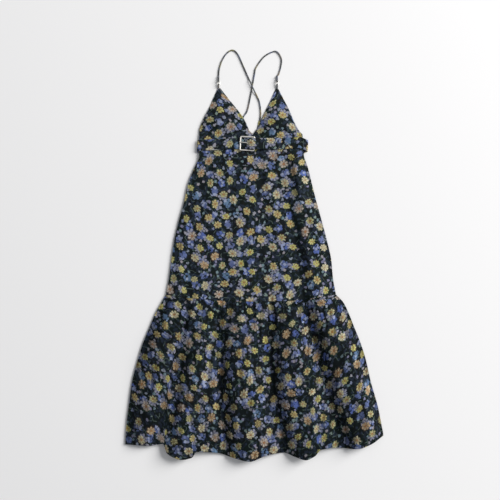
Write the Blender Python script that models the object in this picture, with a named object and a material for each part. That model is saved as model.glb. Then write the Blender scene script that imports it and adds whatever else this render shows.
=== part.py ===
"""A midi camisole dress laid flat on its back, with its own belt.

The dress lies face up on the floor. +X is to the viewer's right, +Y runs from the hem to
the neck and +Z is up from the floor. Left and right are as seen from above. The cloth
panels are walls worked out from short tables of real sizes, all in millimetres.
"""

import math

import bmesh
import bpy
from mathutils import Matrix, Vector

MM = 0.001

# Thicknesses and clearances
CLOTH = 1.4
GAP = 0.4
SEAM = 0.3
BELT_CLOTH = 1.6

# Heights of the seams above the middle of the dress, towards the neck
UNDERBUST = 335.0
APEX_LEFT = 502.0
APEX_RIGHT = 500.0

# Skirt: height, left side, right side
SKIRT_SIDES = (
    (335, -165, 146),
    (300, -165, 149),
    (263, -180, 161),
    (215, -199, 173),
    (152, -213, 189),
    (98, -228, 204),
    (41, -241, 219),
    (-14, -249, 231),
    (-68, -256, 236),
    (-118, -265, 245),
)

# Seam between skirt and flounce: across, height
FLOUNCE_SEAM = (
    (-265, -118),
    (-180, -129),
    (-80, -136),
    (0, -138),
    (100, -136),
    (180, -127),
    (245, -117),
)

# Flounce: height, left side, right side
FLOUNCE_SIDES = (
    (-117, -265, 245),
    (-140, -278, 267),
    (-170, -295, 282),
    (-210, -312, 298),
    (-260, -333, 318),
    (-310, -349, 334),
    (-380, -367, 350),
    (-450, -377, 370),
    (-510, -384, 382),
    (-540, -386, 387),
    (-566, -387, 387),
)

# Hem of the front flounce, which dips at each flute: across, height
FRONT_HEM = (
    (-387, -566),
    (-318, -571),
    (-274, -565),
    (-262, -594),
    (-217, -613),
    (-188, -607),
    (-173, -589),
    (-110, -592),
    (-60, -608),
    (-14, -618.6),
    (30, -603),
    (88, -591),
    (120, -603),
    (155, -614),
    (182, -602),
    (200, -583),
    (250, -576),
    (308, -581),
    (350, -567),
    (387, -540),
)

# Hem of the back flounce, which lies flat: across, height
BACK_HEM = (
    (-386, -556),
    (-280, -558),
    (-180, -576),
    (0, -584),
    (120, -582),
    (220, -570),
    (320, -562),
    (386, -532),
)

# Valleys between the flutes of the front, from waist to hem. Each row: across at the
# waist, at mid skirt, at the flounce seam, at mid flounce and at the hem
VALLEY_HEIGHTS = (300, 110, -125, -340, -600)
VALLEYS = (
    (-165, -226, -265, -356, -389),
    (-140, -182, -206, -248, -300),
    (-55, -75, -98, -102, -84),
    (15, 32, 50, 54, 92),
    (60, 113, 147, 203, 285),
    (149, 201, 245, 341, 389),
)

# Rise of the flute to the right of each valley: at mid skirt, at the seam, at mid flounce,
# at the hem, and how far across it the crest lies
FLUTES = (
    (1.5, 2.5, 7, 9, 0.50),
    (2.5, 3.5, 11, 15, 0.43),
    (2.5, 3.5, 13, 16.8, 0.40),
    (3.0, 4.0, 13, 15, 0.33),
    (6.0, 7.0, 12, 13, 0.33),
)

# Left cup: height, outer edge, inner edge
LEFT_CUP_SIDES = (
    (335, -165, -3.5),
    (362, -165, -4),
    (375, -165, -15),
    (389, -161, -21),
    (414, -150, -34),
    (438, -138, -51),
    (465, -126, -73),
    (502, -110, -102),
)

# Right cup: height, inner edge, outer edge
RIGHT_CUP_SIDES = (
    (335, -3.1, 146),
    (362, -3.2, 141),
    (374, 4, 134),
    (386, 12.6, 127),
    (408, 21.5, 116),
    (424, 29.4, 110),
    (448, 40, 99),
    (473, 52, 86),
    (500, 64, 72),
)

# Top edge of the back bodice, with a point under each strap: across, height
BACK_TOP = (
    (-165, 380),
    (-110, 386),
    (-60, 396),
    (-41, 405),
    (-33, 405),
    (-20, 376),
    (-4, 360),
    (8, 380),
    (13, 405),
    (21, 405),
    (45, 394),
    (90, 382),
    (137, 371),
    (146, 362),
)

# Bend of the dress where it lies over the back run of the belt
RAMP_TOP = (350, 375)
RAMP_BOTTOM = (300, 270)
BELT_RISE = BELT_CLOTH + GAP

# Cup fullness, and the strap end that the left cup covers
CUP_RISE = 7.0
COVERED_END = (-34, 408)
COVERED_RISE = 2.4

# Straps and rings
STRAP_WIDTH = 4.0
STRAP_THICK = 2.0
RING_HALF_WIDTH = 3.2
RING_HALF_HEIGHT = 4.9
RING_CORNER = 1.4
RING_WIRE = 0.8
RING_HEIGHT = 517.0
RING_RAISE = STRAP_THICK + SEAM + RING_WIRE
RING_LEFT = -107.0
RING_RIGHT = 68.5
DOUBLED_END = 17.0
CROSSING = (-6, 506)

# Strap routes on the floor, from the ring to the back bodice: across, height
LEFT_STRAP = (
    (-107, 546),
    (-105, 560),
    (-98, 582),
    (-84, 605),
    (-66, 616),
    (-50, 604),
    (-35, 572),
    (-6, 506),
    (14, 464),
    (19, 430),
    (17, 405.8),
)
RIGHT_STRAP = (
    (73, 543),
    (79, 565),
    (81, 590),
    (69, 610),
    (54, 610.5),
    (28, 595),
    (5, 563),
    (0, 541),
    (-9, 492),
    (-20, 438),
    (-32, 417),
    (-36, 406.3),
)

# Belt and buckle
BELT_WIDTH = 33.0
BELT_SLANT = math.radians(3.0)
BELT_LOW = BELT_CLOTH / 2
BELT_ON_DRESS = BELT_RISE + 2 * CLOTH + 2 * GAP + BELT_CLOTH / 2
HEEL_BAR = 0.0
NOSE_BAR = -42.0
FRAME_HEIGHT = 40.0
FRAME_CORNER = 3.0
BAR_WIDTH = 4.0
BAR_THICK = 2.4
BAR_RAISE = BELT_ON_DRESS + BELT_CLOTH / 2 + SEAM + BAR_THICK / 2
PRONG_WIRE = 0.8
PRONG_TILT = 0.16
PRONG_HOLE = -17.5
PRONG_HOLE_RISE = 4.6
PRONG_HOLE_SIZE = (13, 4.4, 7)
HEEL_SLOT_SIZE = (9.6, 6.4, 6.7)

# Middle line of the belt's front run: across, height
BELT_LINE = (
    (-168, 330),
    (-120, 332),
    (-43, 335.4),
    (0, 334.4),
    (80, 335.2),
    (137, 338.4),
    (148, 334),
    (157.2, 330),
)
BELT_BACK_LINE = 321.0

# Side view of the belt's two ends: across, height over the dress's run
HEEL_END = (
    (30, 1.9),
    (22, 2.1),
    (14, 3.1),
    (7, 4.3),
)
FREE_END = (
    (-43, 0),
    (-34, 0),
    (-27, 0.9),
    (-21, 3.4),
    (-15, 5.9),
    (-9, 6.8),
    (0, 6.9),
    (7, 6.7),
    (14, 5.3),
    (24, 4.0),
    (32, 3.8),
    (42, 2.1),
    (60, 1.9),
    (80, 1.9),
)


def clear_scene():
    for thing in list(bpy.data.objects):
        bpy.data.objects.remove(thing, do_unlink=True)


def material(name, colour, roughness, metallic=0.0):
    made = bpy.data.materials.new(name)
    made.use_nodes = True
    shader = made.node_tree.nodes["Principled BSDF"]
    shader.inputs["Base Color"].default_value = (*colour, 1.0)
    shader.inputs["Roughness"].default_value = roughness
    shader.inputs["Metallic"].default_value = metallic
    made.diffuse_color = (*colour, 1.0)
    return made


def printed_cloth(name):
    return material(name + "_cloth", (0.035, 0.042, 0.062), 0.85)


def pale_metal(name):
    return material(name + "_metal", (0.76, 0.70, 0.58), 0.28, 1.0)


def eased(t):
    """0 below t = 0, 1 above t = 1, and a soft step between."""
    t = min(max(t, 0.0), 1.0)
    return t * t * (3 - 2 * t)


def between(low, high, t):
    return low + (high - low) * t


def curve_through(pairs):
    """A smooth function through (x, y) pairs that keeps between neighbouring values."""
    pairs = sorted(pairs)
    steps = [
        (b[1] - a[1]) / (b[0] - a[0]) for a, b in zip(pairs, pairs[1:])
    ]
    slopes = [steps[0]]
    for before, after in zip(steps, steps[1:]):
        same_way = before * after > 0
        slopes.append(2 * before * after / (before + after) if same_way else 0.0)
    slopes.append(steps[-1])

    def value(x):
        x = min(max(x, pairs[0][0]), pairs[-1][0])
        i = 0
        while i < len(pairs) - 2 and x > pairs[i + 1][0]:
            i += 1
        (x0, y0), (x1, y1) = pairs[i], pairs[i + 1]
        wide = x1 - x0
        t = (x - x0) / wide
        rest = 1 - t
        ends = y0 * rest * rest * (1 + 2 * t) + y1 * t * t * (1 + 2 * rest)
        turns = slopes[i] * t * rest * rest - slopes[i + 1] * t * t * rest
        return ends + turns * wide

    return value


def straight_through(pairs):
    """The same with straight lines between the pairs."""

    def value(x):
        x = min(max(x, pairs[0][0]), pairs[-1][0])
        for (x0, y0), (x1, y1) in zip(pairs, pairs[1:]):
            if x <= x1:
                return between(y0, y1, (x - x0) / (x1 - x0))
        return pairs[-1][1]

    return value


def column(rows, which):
    return curve_through([(row[0], row[which]) for row in rows])


skirt_left = column(SKIRT_SIDES, 1)
skirt_right = column(SKIRT_SIDES, 2)
flounce_left = column(FLOUNCE_SIDES, 1)
flounce_right = column(FLOUNCE_SIDES, 2)
seam_line = curve_through(FLOUNCE_SEAM)
front_hem = curve_through(FRONT_HEM)
back_hem = curve_through(BACK_HEM)
belt_line = curve_through(BELT_LINE)
valley_lines = [curve_through(zip(VALLEY_HEIGHTS, row)) for row in VALLEYS]
flute_rises = [
    curve_through(zip(VALLEY_HEIGHTS, (0.0, *row[:4]))) for row in FLUTES
]


def belt_lift(y):
    """Height of the back panels' underside, which is up where the belt runs below."""
    above = eased((RAMP_TOP[1] - y) / (RAMP_TOP[1] - RAMP_TOP[0]))
    below = eased((y - RAMP_BOTTOM[1]) / (RAMP_BOTTOM[0] - RAMP_BOTTOM[1]))
    return BELT_RISE * min(above, below)


def over_back(y):
    """Height of a front panel's underside where it lies flat on the back panel."""
    return belt_lift(y) + CLOTH + GAP


def flutes(x, y):
    """Rise of the front: between two valleys, a rounded crest falls away to both."""
    lines = [line(y) for line in valley_lines]
    for i, (left, right) in enumerate(zip(lines, lines[1:])):
        if left <= x <= right:
            across = (x - left) / (right - left)
            crest = FLUTES[i][4]
            if across < crest:
                from_crest = 1 - across / crest
            else:
                from_crest = (across - crest) / (1 - crest)
            return flute_rises[i](y) * (1 - from_crest**1.8)
    return 0.0


def new_object(name, mesh_source, surface):
    """The named object of a bmesh, with its faces out and shaded smooth."""
    bmesh.ops.recalc_face_normals(mesh_source, faces=mesh_source.faces)
    mesh = bpy.data.meshes.new(name)
    mesh_source.to_mesh(mesh)
    mesh_source.free()
    mesh.materials.append(surface)
    for face in mesh.polygons:
        face.use_smooth = True
    made = bpy.data.objects.new(name, mesh)
    bpy.context.scene.collection.objects.link(made)
    return made


def split_quad(made, a, b, c, d):
    made.faces.new((a, b, c))
    made.faces.new((a, c, d))


def panel(name, across, along, underside):
    """A cloth panel as one closed wall.

    across and along are rising lists from 0 to 1, and underside(u, v) is the point in
    millimetres under the cloth, u of the way across and v of the way along.
    """
    made = bmesh.new()
    low = []
    for v in along:
        low.append([made.verts.new(Vector(underside(u, v)) * MM) for u in across])
    rise = Vector((0, 0, CLOTH * MM))
    high = [[made.verts.new(vert.co + rise) for vert in row] for row in low]
    for j in range(len(along) - 1):
        for i in range(len(across) - 1):
            for layer in (low, high):
                here, there = layer[j], layer[j + 1]
                split_quad(made, here[i], here[i + 1], there[i + 1], there[i])
    rim = [(0, i) for i in range(len(across))]
    rim += [(j, len(across) - 1) for j in range(1, len(along))]
    rim += [(len(along) - 1, i) for i in range(len(across) - 2, -1, -1)]
    rim += [(j, 0) for j in range(len(along) - 2, 0, -1)]
    for (j0, i0), (j1, i1) in zip(rim, rim[1:] + rim[:1]):
        split_quad(made, low[j0][i0], low[j1][i1], high[j1][i1], high[j0][i0])
    return new_object(name, made, printed_cloth(name))


def even(count):
    return [i / count for i in range(count + 1)]


def sweep(name, places, wide, thick, surface, sides=8, closed=False):
    """A solid strip or wire: a section carried along places, a list of (centre, side).

    The section is wide along each side vector and thick at right angles to it. With four
    sides it is a rectangle, and with more it is an ellipse.
    """
    made = bmesh.new()
    count = len(places)
    loops = []
    for i, (centre, side) in enumerate(places):
        before = places[i - 1][0] if closed or i else centre
        after = places[(i + 1) % count][0] if closed or i < count - 1 else centre
        up = Vector(side).cross(Vector(after) - Vector(before)).normalized()
        ring = []
        for k in range(sides):
            turn = 2 * math.pi * (k + 0.5) / sides
            reach = math.sqrt(2) if sides == 4 else 1.0
            out = Vector(side).normalized() * (math.cos(turn) * wide / 2 * reach)
            out += up * (math.sin(turn) * thick / 2 * reach)
            ring.append(made.verts.new((Vector(centre) + out) * MM))
        loops.append(ring)
    pairs = list(zip(loops, loops[1:]))
    if closed:
        pairs.append((loops[-1], loops[0]))
    for here, there in pairs:
        for k in range(sides):
            after = (k + 1) % sides
            split_quad(made, here[k], here[after], there[after], there[k])
    if not closed:
        made.faces.new(loops[0])
        made.faces.new(loops[-1])
    return new_object(name, made, surface)


def spline(points, steps):
    """Points on a Catmull-Rom curve through the given ones, steps to each stretch."""
    points = [Vector(point) for point in points]
    ends = [2 * points[0] - points[1]] + points + [2 * points[-1] - points[-2]]
    out = []
    for a, b, c, d in zip(ends, ends[1:], ends[2:], ends[3:]):
        for k in range(steps):
            t = k / steps
            out.append(
                0.5
                * (
                    2 * b
                    + (c - a) * t
                    + (2 * a - 5 * b + 4 * c - d) * t**2
                    + (3 * b - a - 3 * c + d) * t**3
                )
            )
    out.append(points[-1])
    return out


def carried(points, side):
    """Each point with the side vector, turned no more than the path makes it turn."""
    side = Vector(side)
    places = []
    for i, point in enumerate(points):
        before = points[max(i - 1, 0)]
        heading = (points[min(i + 1, len(points) - 1)] - before).normalized()
        side = (side - heading * side.dot(heading)).normalized()
        places.append((point, side.copy()))
    return places


def arc(centre, radii, start, end, count):
    """Points (across, up) on an ellipse from one angle in degrees to another."""
    out = []
    for i in range(count + 1):
        turn = math.radians(between(start, end, i / count))
        across = centre[0] + radii[0] * math.cos(turn)
        out.append((across, centre[1] + radii[1] * math.sin(turn)))
    return out


def frame_places(centre, half_x, half_y, corner, turned):
    """Places for a sweep round a flat rectangle with round corners, turned about +Z."""
    outline = []
    for quarter, (sx, sy) in enumerate(((1, 1), (-1, 1), (-1, -1), (1, -1))):
        at = (sx * (half_x - corner), sy * (half_y - corner))
        outline += arc(at, (corner, corner), 90 * quarter, 90 * quarter + 90, 4)
    turn = Matrix.Rotation(turned, 3, "Z")
    places = []
    for i, (x, y) in enumerate(outline):
        before = outline[i - 1]
        after = outline[(i + 1) % len(outline)]
        out = Vector((after[1] - before[1], before[0] - after[0], 0)).normalized()
        places.append((Vector(centre) + turn @ Vector((x, y, 0)), turn @ out))
    return places


# Skirt


def skirt_rows():
    """Close rows over the belt and even rows below it."""
    return [0, 0.036, 0.073, 0.1, 0.135, 0.2] + [0.2 + 0.1 * i for i in range(1, 9)]


def skirt_point(u, v, inset):
    """A point of the skirt, as seen from above, v of the way from waist to flounce."""
    foot = between(SKIRT_SIDES[-1][1], SKIRT_SIDES[-1][2], u)
    y = between(UNDERBUST - SEAM / 2, seam_line(foot) + SEAM / 2, v)
    x = between(skirt_left(y) + inset, skirt_right(y) - inset, u)
    return x, y


def build_skirt():
    def front(u, v):
        x, y = skirt_point(u, v, 0)
        return x, y, over_back(y) + flutes(x, y)

    def back(u, v):
        x, y = skirt_point(u, v, 1.5)
        return x, y, belt_lift(y)

    panel("skirt_front", even(26), skirt_rows(), front)
    panel("skirt_back", even(12), skirt_rows(), back)


# Flounce


def flounce_point(u, v, hem, inset):
    """A point of the flounce, v of the way from its seam to the given hem."""
    top = between(SKIRT_SIDES[-1][1], SKIRT_SIDES[-1][2], u)
    foot = between(FRONT_HEM[0][0], FRONT_HEM[-1][0], u)
    y = between(seam_line(top) - SEAM / 2, hem(foot), v)
    left_y = between(FLOUNCE_SEAM[0][1], hem(FRONT_HEM[0][0]), v)
    right_y = between(FLOUNCE_SEAM[-1][1], hem(FRONT_HEM[-1][0]), v)
    x = between(flounce_left(left_y) + inset, flounce_right(right_y) - inset, u)
    return x, y


def build_flounce():
    def front(u, v):
        x, y = flounce_point(u, v, front_hem, 0)
        return x, y, over_back(y) + flutes(x, y)

    def back(u, v):
        x, y = flounce_point(u, v, back_hem, 1.5)
        return x, y, 0.0

    panel("flounce_front", even(62), even(12), front)
    panel("flounce_back", even(12), even(10), back)


# Bodice


def cup_base(y):
    """Underside of a cup: on the back bodice low down and on the floor at the apex."""
    return over_back(y) * (1 - eased((y - 415) / 40))


def build_cup(name, sides, apex):
    first = column(sides, 1)
    last = column(sides, 2)

    def underside(u, v):
        y = between(UNDERBUST + SEAM / 2, apex, v)
        x = between(first(y), last(y), u)
        full = eased((y - 356) / 40) * eased((apex - y) / 90)
        dome = CUP_RISE * full * math.sin(math.pi * u) ** 0.8
        away = math.dist((x, y), COVERED_END)
        cover = COVERED_RISE * eased((34 - away) / 22)
        return x, y, cup_base(y) + max(dome, cover)

    panel(name, even(10), even(12), underside)


def build_bodice():
    build_cup("cup_left", LEFT_CUP_SIDES, APEX_LEFT)
    build_cup("cup_right", RIGHT_CUP_SIDES, APEX_RIGHT)
    top = straight_through(BACK_TOP)
    left, right = BACK_TOP[0][0] + 1.5, BACK_TOP[-1][0] - 1.5
    stations = [left + 1.5] + [row[0] for row in BACK_TOP[1:-1]] + [right - 1.5]
    across = [(x - left) / (right - left) for x in stations]
    across[0], across[-1] = 0.0, 1.0

    def back(u, v):
        x = between(left, right, u)
        y = between(UNDERBUST + SEAM / 2, top(x), v)
        return x, y, belt_lift(y)

    panel("bodice_back", across, even(7), back)


# Straps with their rings and loops


def build_ring(name, x):
    centre = (x, RING_HEIGHT, RING_RAISE)
    places = frame_places(centre, RING_HALF_WIDTH, RING_HALF_HEIGHT, RING_CORNER, 0)
    wire = 2 * RING_WIRE
    sweep(name, places, wire, wire, pale_metal(name), sides=6, closed=True)


def build_cup_loop(name, x, apex):
    """A folded strip from the cup's apex round the lower side of the ring."""
    wire = RING_HEIGHT - RING_HALF_HEIGHT
    radius = RING_WIRE + SEAM + CLOTH / 2
    turn = arc((wire, RING_RAISE), (radius, radius), -90, 90, 6)
    under = [(apex + SEAM, CLOTH / 2), (apex + 4, CLOTH / 2 + 0.3)]
    over = [(apex + 4, CLOTH * 2.5), (apex + SEAM, CLOTH * 1.5 + SEAM)]
    side = Vector((1, 0, 0))
    places = [(Vector((x, y, z)), side) for y, z in under + turn + over]
    sweep(name, places, STRAP_WIDTH, CLOTH, printed_cloth(name), sides=4)


def build_strap(name, x, route, over_other):
    """A narrow strap: doubled round the ring, over the shoulder and down to the back."""
    wire = RING_HEIGHT + RING_HALF_HEIGHT
    radius = RING_WIRE + SEAM + STRAP_THICK / 2
    low = STRAP_THICK / 2
    doubled = low + STRAP_THICK + SEAM
    turn = arc((wire, RING_RAISE), (radius, radius), 90, 270, 6)
    start = [(wire + DOUBLED_END, doubled), (wire + 9, doubled), (wire + 5, 4.9)]
    start += turn
    start += [(wire + 5, low), (wire + 10, low), (wire + DOUBLED_END, low)]
    path = [Vector((x, y, z)) for y, z in start]
    for point in spline([(px, py, low) for px, py in route], 3):
        near = math.dist((point.x, point.y), CROSSING)
        rise = (STRAP_THICK + GAP) * eased((30 - near) / 17) if over_other else 0.0
        path.append(Vector((point.x, point.y, low + rise)))
    places = carried(path, (1, 0, 0))
    sweep(name, places, STRAP_WIDTH, STRAP_THICK, printed_cloth(name), sides=6)


def build_straps():
    build_ring("ring_left", RING_LEFT)
    build_ring("ring_right", RING_RIGHT)
    build_cup_loop("cup_loop_left", RING_LEFT, APEX_LEFT)
    build_cup_loop("cup_loop_right", RING_RIGHT, APEX_RIGHT)
    build_strap("strap_left", RING_LEFT, LEFT_STRAP, True)
    build_strap("strap_right", RING_RIGHT, RIGHT_STRAP, False)


# Belt and buckle


def belt_side():
    return Vector((math.sin(BELT_SLANT), math.cos(BELT_SLANT), 0))


def belt_path():
    """(across, height, up) from the buckle's heel bar round the dress to the free tip."""
    dress = BELT_ON_DRESS
    wrap = (BAR_WIDTH / 2 + GAP + BELT_CLOTH / 2, BAR_RAISE - dress)
    path = [(x, belt_line(x), dress + rise) for x, rise in HEEL_END]
    for x, z in arc((HEEL_BAR, BAR_RAISE), wrap, 90, 270, 8):
        path.append((x, belt_line(0), z))
    for x in (8, 30, 50, 80, 110, 125, 137, 142, 148):
        path.append((x, belt_line(x), dress))
    half = (dress - BELT_LOW) / 2
    for x, z in arc((BELT_LINE[-1][0], dress - half), (half, half), 90, -90, 8):
        path.append((x, between(BELT_LINE[-1][1] - 4, BELT_LINE[-1][1], z / dress), z))
    path += [(148, 322.5, BELT_LOW), (135, BELT_BACK_LINE, BELT_LOW)]
    path += [(0, BELT_BACK_LINE, BELT_LOW), (-145, BELT_BACK_LINE, BELT_LOW)]
    for x, z in arc((BELT_LINE[0][0], dress - half), (half, half), 270, 90, 8):
        path.append((x, between(BELT_BACK_LINE + 1, BELT_LINE[0][1], z / dress), z))
    for x in (-150, -120, -90, -60):
        path.append((x, belt_line(x), dress))
    path += [(x, belt_line(x), dress + rise) for x, rise in FREE_END]
    return path


def cutter(name, centre, size, turned, host):
    """A hidden box that a Boolean takes away from the host."""
    bpy.ops.mesh.primitive_cube_add(size=1)
    box = bpy.context.object
    box.name = name
    box.location = Vector(centre) * MM
    box.scale = Vector(size) * MM
    box.rotation_euler = (0, 0, turned)
    box.hide_render = True
    box.display_type = "WIRE"
    cut = host.modifiers.new(name, "BOOLEAN")
    cut.operation = "DIFFERENCE"
    cut.solver = "EXACT"
    cut.object = box


def prong_height(x):
    """The prong lies askew, from below the belt's middle to above it at the nose bar."""
    return belt_line(HEEL_BAR) - 1.5 - (x - HEEL_BAR) * PRONG_TILT


def build_belt():
    side = belt_side()
    places = [(Vector(point), side) for point in belt_path()]
    belt = sweep("belt", places, BELT_WIDTH, BELT_CLOTH, printed_cloth("belt"), sides=4)
    rise = BELT_ON_DRESS + PRONG_HOLE_RISE
    hole = (PRONG_HOLE, prong_height(PRONG_HOLE), rise)
    cutter("prong_hole", hole, PRONG_HOLE_SIZE, -math.atan(PRONG_TILT), belt)
    slot = (HEEL_BAR + 0.2, prong_height(HEEL_BAR), BAR_RAISE)
    cutter("heel_slot", slot, HEEL_SLOT_SIZE, 0, belt)


def build_buckle():
    """An open rectangular frame of flattened bar and a prong hung on its heel bar."""
    middle = (HEEL_BAR + NOSE_BAR) / 2
    centre = (middle, belt_line(middle), BAR_RAISE)
    half = ((HEEL_BAR - NOSE_BAR) / 2, FRAME_HEIGHT / 2)
    places = frame_places(centre, *half, FRAME_CORNER, -BELT_SLANT)
    bar = pale_metal("frame")
    sweep("buckle_frame", places, BAR_WIDTH, BAR_THICK, bar, closed=True)
    hang = (BAR_WIDTH / 2 + GAP + PRONG_WIRE, BAR_THICK / 2 + SEAM + PRONG_WIRE)
    route = arc((HEEL_BAR, BAR_RAISE), hang, -165, 90, 9)
    top = BAR_RAISE + hang[1]
    route += [(HEEL_BAR - 8, top), (PRONG_HOLE, top), (-32, top), (NOSE_BAR - 4, top)]
    side = Vector((PRONG_TILT, 1, 0)).normalized()
    places = [(Vector((x, prong_height(x), z)), side) for x, z in route]
    wire = 2 * PRONG_WIRE
    sweep("buckle_prong", places, wire * 1.4, wire, pale_metal("prong"), sides=6)


def main():
    clear_scene()
    build_skirt()
    build_flounce()
    build_bodice()
    build_straps()
    build_belt()
    build_buckle()


main()
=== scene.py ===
# %% [markdown]
# # A camisole dress laid flat
#
# The dress lies on its back on a pale floor, seen from straight above. It has two triangle
# cups, narrow straps that cross at the back, a flared skirt with a gathered flounce and a
# buckled belt of the same printed cloth. The imported solids are the fixed frame: every
# piece below is a finer shell in the place of one of them.
#
# Cloth could be draped by a simulation, but a simulated fold falls where it likes. The
# folds here have to lie where they lie in the photo, so each main one is given as a bump
# on a grid, and only the small ones are random.

import bmesh
import bpy
import numpy as np
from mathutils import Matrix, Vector


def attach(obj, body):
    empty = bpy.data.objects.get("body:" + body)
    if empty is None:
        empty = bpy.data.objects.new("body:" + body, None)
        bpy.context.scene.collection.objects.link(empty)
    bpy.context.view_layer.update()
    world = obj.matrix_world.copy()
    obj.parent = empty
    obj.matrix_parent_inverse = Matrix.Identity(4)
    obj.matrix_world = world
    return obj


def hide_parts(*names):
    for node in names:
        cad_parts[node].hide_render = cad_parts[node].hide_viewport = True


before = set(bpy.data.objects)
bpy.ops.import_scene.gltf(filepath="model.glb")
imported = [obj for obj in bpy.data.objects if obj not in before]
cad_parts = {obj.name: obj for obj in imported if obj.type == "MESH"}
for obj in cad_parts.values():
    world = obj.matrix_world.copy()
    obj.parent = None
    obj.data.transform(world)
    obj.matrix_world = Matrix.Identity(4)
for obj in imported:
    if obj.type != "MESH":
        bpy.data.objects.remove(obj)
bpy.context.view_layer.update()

MM = 0.001
print("nodes in the frame:", len(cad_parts))

# %% [markdown]
# ## Camera and light
#
# The photo looks straight down, so the camera does too, with the neck at the top. One
# photo pixel is 3 mm here, so 500 pixels show 1.5 m, and the distance follows from the
# lens. A big soft light, like a tall window, stands to the upper right. It is low, so the
# left sides of the folds fall into shade, and the pale surroundings fill that shade. One
# lamp and an even sky are enough: a second lamp would give the straps a second shadow.

# %% Camera
PIXEL = 3.0 * MM
PICTURE_PIXELS = 500
VIEW_CENTRE = (-0.0129, 0.0168)
LENS, SENSOR = 50.0, 36.0
CAMERA_HEIGHT = PICTURE_PIXELS * PIXEL * LENS / SENSOR

camera = bpy.data.objects.new("camera", bpy.data.cameras.new("camera"))
bpy.context.scene.collection.objects.link(camera)
camera.data.lens = LENS
camera.data.sensor_width = SENSOR
camera.location = (*VIEW_CENTRE, CAMERA_HEIGHT)
bpy.context.scene.camera = camera
print("camera height:", round(camera.location.z, 3), "m")


# %% Window and sky
WINDOW_PLACE = Vector((9.4, 5.0, 5.0))
WINDOW_SIZE, WINDOW_WATTS = 6.0, 2410
SKY_STRENGTH = 0.33

lamp = bpy.data.lights.new("window", "AREA")
lamp.size = WINDOW_SIZE
lamp.energy = WINDOW_WATTS
lamp.color = (1.0, 0.985, 0.965)
window = bpy.data.objects.new("window", lamp)
bpy.context.scene.collection.objects.link(window)
window.location = WINDOW_PLACE
window.rotation_euler = (-WINDOW_PLACE).to_track_quat("-Z", "Y").to_euler()

sky = bpy.data.worlds.new("sky")
sky.use_nodes = True
background = sky.node_tree.nodes["Background"]
background.inputs["Color"].default_value = (0.95, 0.97, 1.0, 1)
background.inputs["Strength"].default_value = SKY_STRENGTH
bpy.context.scene.world = sky
bpy.context.scene.view_settings.view_transform = "Standard"
print("window:", round(WINDOW_PLACE.length, 1), "m off, sky strength:", SKY_STRENGTH)

# %% [markdown]
# ## Helpers for shapes
#
# The outlines are smooth curves through short tables of real sizes in millimetres. Folds
# are bumps on a grid, and a sheet of cloth is that grid twice, closed round its rim. The
# same could be made with a plane and modifiers, but a grid of numbers lets one formula
# give the height, the outline and the place on the printed cloth together.


# %% Curves
def curve_through(pairs):
    """A cubic through (x, y) pairs. Each slope is the harmonic mean of its neighbours'."""
    xs, ys = np.array(sorted(pairs), float).T
    steps = np.diff(ys) / np.diff(xs)
    before, after = steps[:-1], steps[1:]
    same_way = before * after > 0
    inner = 2 * before * after / np.where(same_way, before + after, 1)
    slopes = np.concatenate([steps[:1], np.where(same_way, inner, 0), steps[-1:]])

    def value(x):
        """The Hermite cubic between the two pairs on either side of x."""
        x = np.clip(x, xs[0], xs[-1])
        i = np.clip(np.searchsorted(xs, x) - 1, 0, len(xs) - 2)
        wide = xs[i + 1] - xs[i]
        t = (x - xs[i]) / wide
        rest = 1 - t
        ends = ys[i] * rest**2 * (1 + 2 * t) + ys[i + 1] * t**2 * (1 + 2 * rest)
        return ends + wide * (slopes[i] * t * rest**2 - slopes[i + 1] * t**2 * rest)

    return value


def column(rows, which):
    """The curve through the first and one other entry of each row."""
    return curve_through([(row[0], row[which]) for row in rows])


print("a hump at three quarters:", curve_through(((0, 0), (1, 1), (2, 0)))(1.5))


# %% Easing and noise
def eased(t):
    """0 below t = 0, 1 above t = 1, and 3tt - 2ttt between."""
    t = np.clip(t, 0.0, 1.0)
    return t * t * (3 - 2 * t)


def between(low, high, t):
    """low at t = 0, high at t = 1, and a straight line from one to the other."""
    return low + (high - low) * t


def noise(x, y, size, seed):
    """Random heights from -1 to 1 on a square lattice of that size, eased between them."""
    heights = np.random.default_rng(seed).uniform(-1, 1, (64, 64))
    column_x, row_y = np.floor(x / size), np.floor(y / size)
    along, up = eased(x / size - column_x), eased(y / size - row_y)
    i, j = column_x.astype(int), row_y.astype(int)
    low = between(heights[i % 64, j % 64], heights[(i + 1) % 64, j % 64], along)
    high = between(heights[i % 64, (j + 1) % 64], heights[(i + 1) % 64, (j + 1) % 64], along)
    return between(low, high, up)


print("a quarter of the way, eased:", eased(0.25))


# %% Creases
def creases(x, y, rows):
    """The sum of soft ridges and troughs, one for each row.

    A row runs from one point to another and bows sideways. Its rise is a bell curve
    across the run, wider towards its end, and a rounded bump along it. A lean above 0
    narrows the bell on the run's right, which makes that side steep. For a run that goes
    down the dress, that is the viewer's left.
    """
    total = np.zeros_like(x)
    for x0, y0, x1, y1, bow, width, rise, lean in rows:
        run = np.hypot(x1 - x0, y1 - y0)
        ex, ey = (x1 - x0) / run, (y1 - y0) / run
        along = np.clip(((x - x0) * ex + (y - y0) * ey) / run, 0, 1)
        across = (y - y0) * ex - (x - x0) * ey - bow * 4 * along * (1 - along)
        across += 2.0 * noise(x, y, 45, 3)
        reach = width * (0.7 + 0.6 * along) * np.where(across > 0, 1 + lean, 1 - lean)
        bell = np.exp(-((across / reach) ** 2))
        total += rise * bell * np.sin(np.pi * along) ** 0.8
    return total


ACROSS = np.array([-8.0, -4.0, 0.0, 4.0, 8.0])
crease = creases(0 * ACROSS + 50, ACROSS, ((0, 0, 100, 0, 0, 5, 1.0, 0),))
print("across a crease 1 mm high:", crease.round(2).tolist())

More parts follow.
